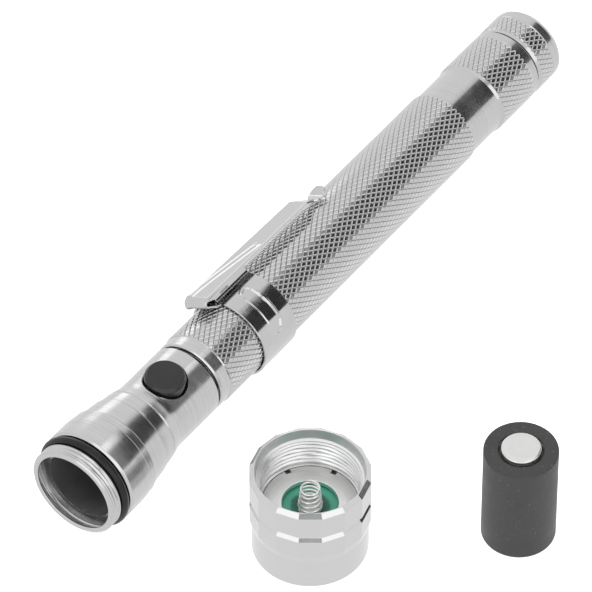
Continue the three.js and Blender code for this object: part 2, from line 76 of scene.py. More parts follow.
# ---- Places -------------------------------------------------------------------------------------


def place(origin, x, y):
    """The rigid frame at origin with those X and Y directions."""
    x, y = Vector(x).normalized(), Vector(y).normalized()
    z = x.cross(y)
    made = Matrix((x, y, z)).transposed().to_4x4()
    made.translation = origin
    return made


def points_in(node, where):
    """A CAD node's vertices in a place, in millimetres."""
    inverse = where.inverted()
    return [inverse @ vertex.co / MM for vertex in frame["nodes"][node].data.vertices]


def turned_size(node, where):
    """(inner radius, outer radius, start, end) of a CAD node about a place's axis."""
    points = points_in(node, where)
    radii = [math.hypot(p.x, p.z) for p in points]
    along = [p.y for p in points]
    return min(radii), max(radii), min(along), max(along)


def middle(node):
    low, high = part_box(node)
    return (low + high) / 2


def tool_place():
    spin = JOINTS["head_spin"]
    axis, centre = Vector(spin["axis"]).normalized(), Vector(spin["pos_m"])
    front = min((vertex.co - centre).dot(axis) for vertex in frame["nodes"]["head_housing"].data.vertices)
    return place(centre + axis * front, (1, 0, 0), axis)


def button_place():
    out = -Vector(JOINTS["button_press"]["axis"])
    along = [p.y for p in points_in("button", TOOL)]
    centre = TOOL @ Vector((0, (min(along) + max(along)) / 2 * MM, 0))
    return place(centre, TOOL.col[1].to_3d().cross(out), out)


def standing_place(node, front):
    """Upright on the bench under a round CAD node, with Z towards a point."""
    foot = middle(node)
    foot.z = 0
    towards = front - foot
    return place(foot, (-towards.y, towards.x, 0), (0, 0, 1))


TOOL = tool_place()
CLIP = place(TOOL.translation, JOINTS["clip_flex"]["axis"], TOOL.col[1].to_3d())
CLIP_ON_TOOL = TOOL.inverted().to_3x3() @ CLIP.to_3x3()
BUTTON = button_place()
CAP = standing_place("cap_shell", middle("led_1"))
PACK = standing_place("battery_sleeve", middle("battery_sleeve") + Vector((0, -1, 0)))


# ---- Shapes -------------------------------------------------------------------------------------

ON_AXIS = 1e-3  # a smaller radius than this counts as none


def turn(radius, angle, along):
    return Vector((radius * math.sin(angle), along, radius * math.cos(angle)))


def even_angles(count, start=0.0):
    return [start + i / count * FULL_TURN for i in range(count)]


def blend(low, high, value):
    """0 below low, 1 above high and a smooth rise between them."""
    part = min(max((value - low) / (high - low), 0), 1)
    return part * part * (3 - 2 * part)


class Shape:
    """Points and faces of one mesh. paint is the material number of the faces that come next."""

    def __init__(self):
        self.points = []
        self.faces = []
        self.paints = []
        self.paint = 0

    def row(self, points):
        first = len(self.points)
        self.points.extend(points)
        return list(range(first, len(self.points)))

    def face(self, *corners):
        self.faces.append(corners)
        self.paints.append(self.paint)

    def strip(self, a, b, closed=True, skip=()):
        """Faces between two rows of equal length, apart from the columns to skip."""
        for i in range(len(a) if closed else len(a) - 1):
            if i not in skip:
                j = (i + 1) % len(a)
                self.face(a[i], a[j], b[j], b[i])

    def skin(self, rows):
        """Strips from each row to the next."""
        for a, b in zip(rows, rows[1:]):
            self.strip(a, b)

    def fan(self, row, hub):
        hub_number = self.row([hub])[0]
        for i, corner in enumerate(row):
            self.face(corner, row[(i + 1) % len(row)], hub_number)

    def repaint(self, paint, test):
        """Gives a material number to the faces whose corners all pass test(radius, place)."""
        for number, corners in enumerate(self.faces):
            points = [self.points[corner] for corner in corners]
            if all(test(math.hypot(point.x, point.z), point.y) for point in points):
                self.paints[number] = paint

    def lathe(self, outline, angles, ends="ring", radius_at=None):
        """Turns an outline of (radius, place) about Y and returns its rows.

        ends is ring where the outline closes on itself, solid where it starts and ends on the axis
        and open where other faces carry on. radius_at(radius, place, angle) may reshape it.
        """
        on_axis = [outline[0], outline[-1]] if ends == "solid" else []
        turned_part = outline[1:-1] if ends == "solid" else outline
        rows = []
        for radius, along in turned_part:
            radii = [radius_at(radius, along, angle) if radius_at else radius for angle in angles]
            rows.append(self.row([turn(r, angle, along) for r, angle in zip(radii, angles)]))
        self.skin(rows)
        if ends == "ring":
            self.strip(rows[-1], rows[0])
        for (_, along), row in zip(on_axis, (rows[0], rows[-1])):
            self.fan(row, Vector((0, along, 0)))
        return rows


def rounded(outline, fillet=0.12, closed=True):
    """An outline of (radius, place) or (radius, place, fillet) with each corner rounded.

    Each round is an arc in steps of 15 degrees or less, with a point beside it on long straights,
    which keeps the straight's shading flat.
    """
    step = math.radians(15)
    spare = 0.45  # the share of a side that a round may take
    result = []
    count = len(outline)
    for i, entry in enumerate(outline):
        corner = Vector(entry[:2])
        size = entry[2] if len(entry) > 2 else fillet
        if not closed and i in (0, count - 1):
            result.append(tuple(corner))
            continue
        back = Vector(outline[i - 1][:2]) - corner
        ahead = Vector(outline[(i + 1) % count][:2]) - corner
        bend = math.pi - back.angle(ahead)
        reach = min(size * math.tan(bend / 2), spare * back.length, spare * ahead.length)
        if reach < 1e-3 or bend < step / 2:
            result.append(tuple(corner))
            continue
        radius = reach / math.tan(bend / 2)
        inward = (back.normalized() + ahead.normalized()).normalized()
        centre = corner + inward * (radius / math.cos(bend / 2))
        first = corner + back.normalized() * reach - centre
        steps = max(1, math.ceil(bend / step))
        sign = math.copysign(1, back.cross(ahead))
        if back.length > 4 * reach:
            result.append(tuple(corner + back.normalized() * reach * 1.5))
        for j in range(steps + 1):
            arm = first.copy()
            arm.rotate(Matrix.Rotation(sign * -bend * j / steps, 2))
            result.append(tuple(centre + arm))
        if ahead.length > 4 * reach:
            result.append(tuple(corner + ahead.normalized() * reach * 1.5))
    return result


def cylinder_outline(size, fillet):
    """The outline of a plain solid or ring from its turned_size, with rounded edges."""
    inner, outer, start, end = size
    if inner < ON_AXIS:
        return rounded([(0, start), (outer, start), (outer, end), (0, end)], fillet, closed=False)
    return rounded([(inner, start), (outer, start), (outer, end), (inner, end)], fillet)


# ---- Pieces -------------------------------------------------------------------------------------

SHARP = math.radians(21)  # edges that bend more than this stay sharp


def add_object(name, data):
    made = bpy.data.objects.new(name, data)
    bpy.context.scene.collection.objects.link(made)
    return made


def build(name, shape, where, materials, node, replaces=True):
    """Makes a piece from a shape, on a CAD node's body and with its finish, in that node's place."""
    mesh = bpy.data.meshes.new(name)
    mesh.from_pydata([point * MM for point in shape.points], [], shape.faces)
    mesh.polygons.foreach_set("material_index", shape.paints)
    for material in materials:
        mesh.materials.append(material)
    work = bmesh.new()
    work.from_mesh(mesh)
    loose = [vertex for vertex in work.verts if not vertex.link_faces]
    bmesh.ops.delete(work, geom=loose, context="VERTS")
    bmesh.ops.recalc_face_normals(work, faces=work.faces)
    work.to_mesh(mesh)
    work.free()
    mesh.shade_smooth()
    mesh.set_sharp_from_angle(angle=SHARP)
    piece = add_object(name, mesh)
    piece.matrix_world = where
    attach(piece, BODIES[node])
    if replaces:
        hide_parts(node)
    return piece


def turned_piece(node, where, outline, materials, count=72, ends="ring", radius_at=None, angles=None):
    shape = Shape()
    shape.lathe(outline, angles or even_angles(count), ends, radius_at)
    return build("fine_" + node, shape, where, materials, node)


def simple_piece(node, where, material, fillet=0.12, count=64):
    """A plain turned solid or ring of the CAD node's size, with rounded edges."""
    size = turned_size(node, where)
    ends = "solid" if size[0] < ON_AXIS else "ring"
    return turned_piece(node, where, cylinder_outline(size, fillet), [material], count, ends)


def keep_node(node, material):
    """A CAD node whose own shape is shown, with a detailed finish."""
    mesh = frame["nodes"][node].data
    mesh.materials.clear()
    mesh.materials.append(material)


# ---- Finishes -----------------------------------------------------------------------------------


def add(tree, kind, inputs=None, **settings):
    """Adds a node, with its settings, and sets or links its inputs."""
    made = tree.nodes.new(kind)
    for key, value in settings.items():
        setattr(made, key, value)
    for key, value in (inputs or {}).items():
        if isinstance(value, bpy.types.NodeSocket):
            tree.links.new(value, made.inputs[key])
        else:
            made.inputs[key].default_value = value
    return made


def finish(name, colour, roughness, metallic=0.0, **sockets):
    """A new material with even values on its shader's own sockets."""
    made = bpy.data.materials.new(name)
    made.use_nodes = True
    tree = made.node_tree
    shader = tree.nodes["Principled BSDF"]
    values = {"Base Color": (*colour, 1), "Roughness": roughness, "Metallic": metallic, **sockets}
    for key, value in values.items():
        shader.inputs[key].default_value = value
    return made, tree, shader


def math_node(tree, operation, a, b=0.0):
    return add(tree, "ShaderNodeMath", {0: a, 1: b}, operation=operation).outputs[0]


def object_position(tree):
    return add(tree, "ShaderNodeTexCoord").outputs["Object"]


def turned_coordinates(tree):
    """(radius, both radius and place along Y with a little of the position) in metres."""
    position = object_position(tree)
    parts = add(tree, "ShaderNodeSeparateXYZ", {0: position})
    flat = add(tree, "ShaderNodeCombineXYZ", {"X": parts.outputs["X"], "Z": parts.outputs["Z"]})
    radius = add(tree, "ShaderNodeVectorMath", {0: flat.outputs[0]}, operation="LENGTH").outputs["Value"]
    rings = add(tree, "ShaderNodeCombineXYZ", {"X": radius, "Y": parts.outputs["Y"]}).outputs[0]
    drift = add(tree, "ShaderNodeVectorMath", {0: position, "Scale": 0.03}, operation="SCALE").outputs[0]
    vector = add(tree, "ShaderNodeVectorMath", {0: rings, 1: drift}, operation="ADD").outputs[0]
    return radius, vector


def noise(tree, vector, size_mm, detail=2.0, roughness=0.5):
    """Noise whose largest lumps are about size_mm across."""
    inputs = {"Vector": vector, "Scale": 1 / (size_mm * MM), "Detail": detail, "Roughness": roughness}
    return add(tree, "ShaderNodeTexNoise", inputs).outputs["Fac"]


def spread(tree, value, low, high, start=0.3, end=0.7):
    """Maps a noise value from start..end to low..high."""
    inputs = {"Value": value, "From Min": start, "From Max": end, "To Min": low, "To Max": high}
    return add(tree, "ShaderNodeMapRange", inputs).outputs[0]


def ramp(tree, value, stops):
    """A colour ramp over 0..1 from (place, (r, g, b)) stops."""
    made = add(tree, "ShaderNodeValToRGB", {0: value})
    elements = made.color_ramp.elements
    while len(elements) < len(stops):
        elements.new(1.0)
    for element, (at, colour) in zip(elements, stops):
        element.position = at
        element.color = (*colour, 1)
    return made.outputs["Color"]


def two_tone(tree, value, first, second):
    """A colour that goes from first to second as a noise value rises."""
    return ramp(tree, spread(tree, value, 0, 1), [(0, first), (1, second)])


def bump(tree, shader, height, depth_mm):
    inputs = {"Height": height, "Distance": depth_mm * MM, "Strength": 1.0}
    tree.links.new(add(tree, "ShaderNodeBump", inputs).outputs[0], shader.inputs["Normal"])


def turned_metal(name, colour, roughness, line_mm=0.35, line_depth=0.002, wear=0.06, streak=0.05):
    """Metal with fine lines round its axis, and patches that are a little duller.

    streak is how much the lines' shade varies.
    """
    made, tree, shader = finish(name, colour, roughness, 1.0)
    _, vector = turned_coordinates(tree)
    lines = noise(tree, vector, line_mm, 3.0, 0.65)
    bump(tree, shader, lines, line_depth)
    patches = noise(tree, object_position(tree), 6, 4.0, 0.6)
    dulled = math_node(tree, "ADD", spread(tree, patches, -wear / 2, wear), roughness)
    fine = math_node(tree, "ADD", dulled, spread(tree, lines, -wear / 3, wear / 3))
    tree.links.new(fine, shader.inputs["Roughness"])
    dark = tuple((1 - streak) * part for part in colour)
    light = tuple(min((1 + streak) * part, 1) for part in colour)
    tree.links.new(two_tone(tree, lines, light, dark), shader.inputs["Base Color"])
    return made


def knurled_metal(name, colour, groove_r, crest_r):
    """Cut knurling: plain crests, flanks painted brighter as a painted highlight and a dull painted shade
    line along each groove.
    """
    made, tree, shader = finish(name, colour, 0.3, 1.0)
    radius, vector = turned_coordinates(tree)
    height = spread(tree, radius, 0, 1, groove_r * MM, crest_r * MM)
    # Painted shade: the groove roots at half the crests' colour.
    groove_painted_shade = tuple(0.5 * part for part in colour)
    # Painted highlight: the flanks at 1.2 times the crests' colour.
    cut = tuple(min(1.2 * part, 1) for part in colour)
    shade = ramp(tree, height, [(0, groove_painted_shade), (0.3, cut), (0.9, cut), (0.98, colour)])
    tree.links.new(shade, shader.inputs["Base Color"])
    grain = noise(tree, vector, 0.25, 3.0, 0.7)
    duller = math_node(tree, "ADD", spread(tree, height, 0.4, 0.12, 0.6, 1), spread(tree, grain, -0.03, 0.03))
    tree.links.new(duller, shader.inputs["Roughness"])
    bump(tree, shader, grain, 0.003)
    return made


def polished_metal(name, colour, roughness, scratch_depth=0.0015):
    """Plated or polished metal with faint smears and hairline scratches."""
    made, tree, shader = finish(name, colour, roughness, 1.0)
    position = object_position(tree)
    smears = noise(tree, position, 4, 5.0, 0.65)
    tree.links.new(spread(tree, smears, roughness * 0.7, roughness * 1.9), shader.inputs["Roughness"])
    along = add(tree, "ShaderNodeMapping", {"Vector": position, "Scale": (1, 0.06, 1)}).outputs[0]
    hairs = noise(tree, along, 0.2, 2.0, 0.7)
    bump(tree, shader, hairs, scratch_depth)
    dull = tuple(0.94 * part for part in colour)
    tree.links.new(two_tone(tree, smears, colour, dull), shader.inputs["Base Color"])
    return made


def moulded(name, colour, roughness, grain_mm=0.25, grain_depth=0.01, speck=None, **sockets):
    """Moulded rubber or plastic with a fine grain, and pale specks of dust where asked."""
    made, tree, shader = finish(name, colour, roughness, 0.0, **sockets)
    position = object_position(tree)
    grain = noise(tree, position, grain_mm, 4.0, 0.6)
    bump(tree, shader, grain, grain_depth)
    cloud = noise(tree, position, 5, 4.0, 0.6)
    tree.links.new(spread(tree, cloud, roughness - 0.06, roughness + 0.08), shader.inputs["Roughness"])
    pale = tuple(min(1.35 * part + 0.003, 1) for part in colour)
    shade = two_tone(tree, cloud, colour, pale)
    if speck:
        dots = noise(tree, position, 0.3, 1.0, 0.5)
        spots = spread(tree, dots, 0, 1, 0.72, 0.78)
        mix = add(tree, "ShaderNodeMix", data_type="RGBA")
        factor, first, second = mix.inputs[0], mix.inputs[6], mix.inputs[7]  # of a colour mix
        tree.links.new(spots, factor)
        tree.links.new(shade, first)
        second.default_value = (*speck, 1)
        shade = mix.outputs[2]
    tree.links.new(shade, shader.inputs["Base Color"])
    return made


def board_finish():
    """Green circuit board: tinned pad under the spring, solder mask, pale ring under the plate."""
    made, tree, shader = finish("board_green", (0.02, 0.22, 0.13), 0.35)
    radius, _ = turned_coordinates(tree)
    position = object_position(tree)
    cloud = noise(tree, position, 1.2, 3.0, 0.6)
    wobble = math_node(tree, "ADD", radius, spread(tree, cloud, -0.00015, 0.00015))
    out = spread(tree, wobble, 0, 1, 0, 6 * MM)
    mask, pale, deep = (0.012, 0.11, 0.075), (0.05, 0.28, 0.19), (0.006, 0.06, 0.045)
    tin, dull_tin = (0.6, 0.62, 0.6), (0.55, 0.58, 0.55)
    stops = [(0, tin), (0.36, dull_tin), (0.4, deep), (0.58, mask), (0.66, pale), (1, pale)]
    tree.links.new(ramp(tree, out, stops), shader.inputs["Base Color"])
    bump(tree, shader, cloud, 0.03)
    return made


def led_finish():
    """Clear resin over a yellow die, as it looks from outside."""
    made, tree, shader = finish("led_resin", (0.85, 0.87, 0.88), 0.06, 0.0, **{"Coat Weight": 0.6})
    radius, _ = turned_coordinates(tree)
    out = spread(tree, radius, 0, 1, 0, 2.5 * MM)
    die, glow, clear, rim = (0.85, 0.66, 0.1), (0.88, 0.8, 0.45), (0.85, 0.87, 0.88), (0.7, 0.73, 0.75)
    stops = [(0, die), (0.35, glow), (0.6, clear), (1, rim)]
    tree.links.new(ramp(tree, out, stops), shader.inputs["Base Color"])
    return made


CREST_R = 8.0  # of the knurling on the barrel and the tail
KNURL_ROOT_R = 7.85
ALUMINIUM = (0.56, 0.56, 0.565)
BRIGHT = (0.62, 0.62, 0.62)
STEEL = (0.57, 0.57, 0.57)
NICKEL = (0.65, 0.65, 0.65)

turned_aluminium = turned_metal("turned_aluminium", ALUMINIUM, 0.2)
# Painted shade: the seat wall inside the head's mouth is the housing's own aluminium, painted near black for
# the shade in that recess.
seat_painted_shade = turned_metal("seat_painted_shade", (0.06, 0.06, 0.06), 0.3)
cap_aluminium = turned_metal("cap_aluminium", BRIGHT, 0.13, 0.3, 0.0006, 0.05, 0.01)
# Painted light: a lighter copy of the cap's aluminium, for its mouth and threaded bore, so that the recess
# looks lit.
cap_bore_painted_light = turned_metal("cap_bore_painted_light", (0.8, 0.8, 0.8), 0.34, 0.3, 0.002, 0.1)
knurled_aluminium = knurled_metal("knurled_aluminium", (0.52, 0.52, 0.525), KNURL_ROOT_R, CREST_R)
clip_steel = polished_metal("clip_steel", STEEL, 0.08, 0.0005)
tube_steel = polished_metal("tube_steel", NICKEL, 0.1)
neck_steel = turned_metal("neck_steel", STEEL, 0.25, 0.2, 0.004)
brass = turned_metal("brass", (0.6, 0.43, 0.17), 0.3, 0.3, 0.004)
nickel = polished_metal("nickel", NICKEL, 0.14)
plate_nickel = turned_metal("plate_nickel", (0.85, 0.85, 0.84), 0.4, 0.25, 0.001)
cell_nickel = turned_metal("cell_nickel", (0.7, 0.7, 0.69), 0.3, 0.25, 0.003)
spring_nickel = polished_metal("spring_nickel", (0.85, 0.85, 0.84), 0.22)
black_rubber = moulded("black_rubber", (0.005, 0.005, 0.005), 0.16, 0.3, 0.002)
ring_rubber = moulded("ring_rubber", (0.003, 0.003, 0.003), 0.2, 0.3, 0.002, **{"Specular IOR Level": 0.35})
black_plastic = moulded("black_plastic", (0.012, 0.012, 0.013), 0.3, 0.4, 0.006)
liner_plastic = moulded("liner_plastic", (0.08, 0.08, 0.08), 0.2, 0.8, 0.01)
sleeve_black = moulded("sleeve_black", (0.02, 0.02, 0.02), 0.45, 0.2, 0.01, speck=(0.16, 0.16, 0.16))
holder_white = moulded("holder_white", (0.78, 0.78, 0.75), 0.4, 0.5, 0.01)
board_green = board_finish()
led_resin = led_finish()


# ---- Knurling -----------------------------------------------------------------------------------

KNURL_GROOVES = 44  # in each of the two directions
KNURL_TOP = 0.66  # size of a diamond's flat top, as a share of the diamond


def knurl_angles():
    """Columns where a knurled zone meets a turned one: each groove crossing and each top's sides."""
    step = math.pi / KNURL_GROOVES
    angles = []
    for i in range(0, 2 * KNURL_GROOVES, 2):
        angles += [i * step, (i + 1 - KNURL_TOP) * step, (i + 1 + KNURL_TOP) * step]
    return angles


def knurl(shape, start, end, half_rows):
    """Diamonds between two places along the axis. half_rows is even. Returns the two end rows.

    Groove crossings are where i + j is even and diamonds where it is odd, for i round the axis and
    j along it. A diamond at either end is cut in half.
    """
    columns = 2 * KNURL_GROOVES
    step_round, step_along = math.pi / KNURL_GROOVES, (end - start) / half_rows
    made = {}

    def corner(i, j, radius):
        key = (round(i % columns, 3), round(j, 3))
        if key not in made:
            made[key] = shape.row([turn(radius, i * step_round, start + j * step_along)])[0]
        return made[key]

    for j in range(half_rows + 1):
        for i in range((j + 1) % 2, columns, 2):
            ring = [(1, 0), (0, 1), (-1, 0), (0, -1)]
            if j == 0:
                ring = [(1, 0), (0, 1), (-1, 0)]
            if j == half_rows:
                ring = [(-1, 0), (0, -1), (1, 0)]
            roots = [corner(i + di, j + dj, KNURL_ROOT_R) for di, dj in ring]
            tops = [corner(i + di * KNURL_TOP, j + dj * KNURL_TOP, CREST_R) for di, dj in ring]
            shape.face(*tops)
            shape.strip(roots, tops, closed=len(ring) == 4)
    rows = []
    for j in (0, half_rows):
        row = []
        for i in range(0, columns, 2):
            row += [corner(i, j, KNURL_ROOT_R), corner(i + 1 - KNURL_TOP, j, CREST_R),
                    corner(i + 1 + KNURL_TOP, j, CREST_R)]
        rows.append(row)
    return rows


def knurled_piece(node, sections, materials):
    """A ring whose outside goes through turned outlines and (start, end, half_rows) knurled zones.

    The sections go along the outside, and the last one comes back along the inside.
    """
    shape = Shape()
    angles = knurl_angles()
    ends = []
    for section in sections:
        if isinstance(section, tuple):
            shape.paint = 1
            ends.append(knurl(shape, *section))
        else:
            shape.paint = 0
            rows = shape.lathe(section, angles, ends="open")
            ends.append((rows[0], rows[-1]))
    shape.paint = 0
    for before, after in zip(ends, ends[1:] + ends[:1]):
        shape.strip(before[1], after[0])
    return build("fine_" + node, shape, TOOL, materials, node)


# ---- The head -----------------------------------------------------------------------------------

HEAD_THREAD = {"start": 0.35, "end": 2.4, "crest": 9.45, "depth": 0.3, "pitch": 0.8}
FLARE_OUTLINE = [
    (9.05, 2.5, 0.05), (8.3, 2.55), (8.3, 4.85), (9.8, 4.85, 0.1), (10.2, 5.25, 0.25), (10.2, 9.0, 3.0),
    (10.05, 11.0, 0.1), (9.95, 11.15, 0.1), (9.88, 12.6, 0.06), (9.5, 12.95, 0.06), (9.24, 15.4, 3.0),
    (9.0, 17.3, 0.06), (8.7, 17.6, 0.06), (8.68, 18.3, 0.1), (8.46, 20.3, 0.06), (8.2, 20.5, 0.05),
    (8.36, 20.75, 0.06), (8.05, 22.2, 2.0), (7.8, 23.0),
]
HEAD_REAR_R = 7.75
STUD_BORE_R = 3.2
SWITCH_BORE_R = 6.9
MOUTH_R = 8.2
MOUTH_DEPTH = 1.6
BORE_FLOOR = [(STUD_BORE_R, 33.6, 0.1), (SWITCH_BORE_R, 33.6, 0.2)]
SEAT_OUTLINE = [
    (SWITCH_BORE_R, 23.1, 0.05), (7.25, 23.1), (7.25, 20.3), (7.7, 20.3), (7.7, 2.75), (7.3, 2.75, 0.03),
    (7.3, 2.6, 0.03), (7.55, 2.35, 0.04), (7.55, 2.2, 0.04), (7.8, 1.95, 0.04), (7.8, 1.85, 0.04),
    (MOUTH_R, MOUTH_DEPTH),
]
HOLE_R = 4.2
HOLE_BEVEL = 0.22
WINDOW_ANGLE = math.radians(45)
WINDOW_COLUMNS = 30
WINDOW = (23.0, 33.0)
WINDOW_ROWS = 8


def thread_radius(angle, along, size):
    """Radius of a V thread that fades in and out at its ends."""
    turns = (along - size["start"]) / size["pitch"] - angle / FULL_TURN
    wave = abs(2 * (turns % 1) - 1)
    fade = 0.35
    strength = blend(0, fade, along - size["start"]) * blend(0, fade, size["end"] - along)
    return size["crest"] - size["depth"] * blend(0.1, 0.9, wave) * strength


def hole_patch(shape, rows, columns, middle_angle, centre, radius_at, bevel):
    """Fills a window in turned rows with faces round the button's hole, and returns the hole's edge.

    The x and y of a flat point are its distances from the hole's centre, across and along the tool.
    """
    first, last = rows[0], rows[-1]
    edge = [first[c] for c in columns] + [row[columns[-1]] for row in rows[1:-1]]
    edge += [last[c] for c in reversed(columns)] + [row[columns[0]] for row in reversed(rows[1:-1])]
    flat = []
    for number in edge:
        point = shape.points[number]
        angle = math.atan2(point.x, point.z) - middle_angle
        flat.append(Vector((math.hypot(point.x, point.z) * math.sin(angle), point.y - centre)))

    def on_surface(spot, sink):
        radius = radius_at(centre + spot.y)
        rise = math.sqrt(radius**2 - spot.x**2) - sink
        return Matrix.Rotation(middle_angle, 3, "Y") @ Vector((spot.x, centre + spot.y, rise))

    before = edge
    for part in (0.25, 0.5, 0.75, 0.93, 1.0):
        rims = [spot.normalized() * (HOLE_R + bevel) for spot in flat]
        ring = shape.row([on_surface(spot.lerp(rim, part), 0) for spot, rim in zip(flat, rims)])
        shape.strip(before, ring)
        before = ring
    if bevel:
        ring = shape.row([on_surface(spot.normalized() * HOLE_R, bevel) for spot in flat])
        shape.strip(before, ring)
        before = ring
    return before


def head_housing():
    shape = Shape()
    centre_angle = math.atan2(BUTTON.col[1].x, BUTTON.col[1].z)
    centre = (TOOL.inverted() @ BUTTON.translation).y / MM
    count = round(WINDOW_COLUMNS * FULL_TURN / (2 * WINDOW_ANGLE))
    angles = even_angles(count, centre_angle - WINDOW_ANGLE)
    thread, end = HEAD_THREAD, turned_size("head_housing", TOOL)[3]
    rim = [SEAT_OUTLINE[-2][:2], (MOUTH_R, MOUTH_DEPTH, 0.05), (MOUTH_R, 0, 0.2), (9.1, 0, 0.1),
           (thread["crest"], thread["start"])]
    turns = 24
    steps = [thread["start"] + (i + 1) / turns * (thread["end"] - thread["start"]) for i in range(turns)]

    def threaded(radius, along, angle):
        return thread_radius(angle, along, thread) if thread["start"] < along <= thread["end"] else radius

    window = [WINDOW[0] + i / WINDOW_ROWS * (WINDOW[1] - WINDOW[0]) for i in range(WINDOW_ROWS + 1)]

    def head_radius(along):
        return HEAD_REAR_R + 0.05 * (1 - blend(window[0], window[0] + 0.9, along))

    outside = rounded(rim, closed=False)[1:] + [(thread["crest"], along) for along in steps]
    outside += rounded(FLARE_OUTLINE, closed=False)[:-1]
    window_at = len(outside)
    outside += [(head_radius(along), along) for along in window]
    chamfer = 0.35
    back = [(HEAD_REAR_R, window[-1]), (HEAD_REAR_R, end - chamfer, 0.1), (HEAD_REAR_R - chamfer, end, 0.1),
            (STUD_BORE_R, end, 0.1)]
    outside += rounded(back + BORE_FLOOR + [(SWITCH_BORE_R, window[-1])], closed=False)[1:-1]
    inner_at = len(outside)
    outside += [(SWITCH_BORE_R, along) for along in reversed(window[1:])]
    outside += rounded([(SWITCH_BORE_R, window[1])] + SEAT_OUTLINE, closed=False)[1:]
    rows = []
    for radius, along in outside:
        rows.append(shape.row([turn(threaded(radius, along, angle), angle, along) for angle in angles]))
    columns = range(WINDOW_COLUMNS + 1)
    outer_window = range(window_at, window_at + WINDOW_ROWS)
    inner_window = range(inner_at, inner_at + WINDOW_ROWS - 1)
    for i, (a, b) in enumerate(zip(rows, rows[1:] + rows[:1])):
        opened = i in outer_window or i in inner_window
        shape.strip(a, b, skip=range(WINDOW_COLUMNS) if opened else ())
    outer_rows = rows[window_at:window_at + WINDOW_ROWS + 1]
    inner_rows = rows[inner_at:inner_at + WINDOW_ROWS][::-1]
    # The seat wall inside the mouth takes the second material, which is painted shade in the recess.
    shape.repaint(1, lambda radius, along: abs(radius - MOUTH_R) < 0.02 and along < MOUTH_DEPTH)
    hole = (columns, centre_angle, centre)
    outer = hole_patch(shape, outer_rows, *hole, head_radius, HOLE_BEVEL)
    inner = hole_patch(shape, inner_rows, *hole, lambda along: SWITCH_BORE_R, 0)
    join_loops(shape, outer, inner)
    return build("fine_head_housing", shape, TOOL, [turned_aluminium, seat_painted_shade], "head_housing")


def join_loops(shape, a, b):
    """Faces between two closed loops that start at the same side and may differ in length."""
    i, j = 0, 0
    while i < len(a) or j < len(b):
        if j >= len(b) or (i < len(a) and i * len(b) <= j * len(a)):
            shape.face(a[i % len(a)], a[(i + 1) % len(a)], b[j % len(b)])
            i += 1
        else:
            shape.face(a[i % len(a)], b[(j + 1) % len(b)], b[j % len(b)])
            j += 1


def o_ring():
    _, outer, start, end = turned_size("o_ring", TOOL)
    radius, at = (end - start) / 2, (start + end) / 2
    centre = outer - radius
    section = [(centre + radius * math.cos(a), at + radius * math.sin(a)) for a in even_angles(20)]
    turned_piece("o_ring", TOOL, section, [ring_rubber], 120)


def battery_bore():
    simple_piece("battery_liner", TOOL, liner_plastic, 0.1, 96)
    _, outer, start, end = turned_size("rear_contact", TOOL)
    dome = [(0, start), (1.2, start + 0.02, 1.0), (2.4, start + 0.25, 1.0), (outer, start + 0.35),
            (outer, end), (0, end)]
    turned_piece("rear_contact", TOOL, rounded(dome, closed=False), [brass], 48, "solid")
    keep_node("switch_body", black_plastic)


def button():
    """A flat-topped rubber button with a rounded rim, on its stem."""
    _, outer, start, end = turned_size("button", BUTTON)
    stem_r, skirt = 1.6, 5.3
    outline = [(0, start), (stem_r, start), (stem_r, skirt), (outer, skirt), (outer, end - 0.75, 0.2),
               (outer - 0.5, end - 0.12, 0.12), (0, end - 0.02)]
    turned_piece("button", BUTTON, rounded(outline, closed=False), [black_rubber], 72, "solid")


# ---- The neck and the tubes ---------------------------------------------------------------------


def neck():
    """The flexible neck: a wound steel tube, with its stud in front and its plug behind."""
    inner, outer, start, end = turned_size("neck_coil", TOOL)
    ridge_pitch, ridge_depth, steps = 1.0, 0.32, 6
    ridges = round((end - start) / ridge_pitch)
    outline = []
    for i in range(ridges * steps + 1):
        dip = abs(math.sin(math.pi * i / steps))
        along = start + i / (ridges * steps) * (end - start)
        outline.append((outer - ridge_depth * (1 - dip**0.6), along))
    outline += [(inner, end), (inner, start)]
    turned_piece("neck_coil", TOOL, outline, [neck_steel], 40)
    _, stud_r, front, back = turned_size("neck_stud", TOOL)
    neck_r, flange = outer, turned_size("head_housing", TOOL)[3] + 0.1
    core_r, ring_r, ring_start, ring_end = inner - 0.3, 2.3, 33.1, 33.6
    stud = [(0, front), (neck_r, front), (neck_r, ring_start), (ring_r, ring_start), (ring_r, ring_end),
            (neck_r, ring_end), (neck_r, flange), (stud_r, flange), (stud_r, flange + 0.5),
            (neck_r, flange + 0.5), (neck_r, start - 0.3), (core_r, start - 0.3), (core_r, back), (0, back)]
    turned_piece("neck_stud", TOOL, rounded(stud, 0.08, closed=False), [tube_steel], 48, "solid")
    keep_node("neck_retainer", tube_steel)
    keep_node("neck_plug", brass)


def tubes():
    """The telescoping tubes: a rolled lip in front and a plain slide bush behind."""
    for i in range(1, 5):
        lip_r, outer, start, end = turned_size(f"tube_{i}", TOOL)
        bore_r, lip_end = outer - 0.4, start + 0.8
        outline = [(outer, start, 0.25), (outer, end), (bore_r, end), (bore_r, lip_end), (lip_r, lip_end),
                   (lip_r, start, 0.15)]
        turned_piece(f"tube_{i}", TOOL, rounded(outline, 0.06), [tube_steel], 72)
        simple_piece(f"tube_{i}_bush", TOOL, brass, 0.1, 64)
    simple_piece("front_bush", TOOL, brass, 0.08, 72)


# ---- The barrel and the tail --------------------------------------------------------------------

COLLAR_R = 7.75
BAND_R = 7.65
LONG_KNURL = (39.35, 119.45, 84)
REAR_KNURL = (129.8, 139.8, 10)
TAIL_KNURL = (142.9, 146.8, 4)


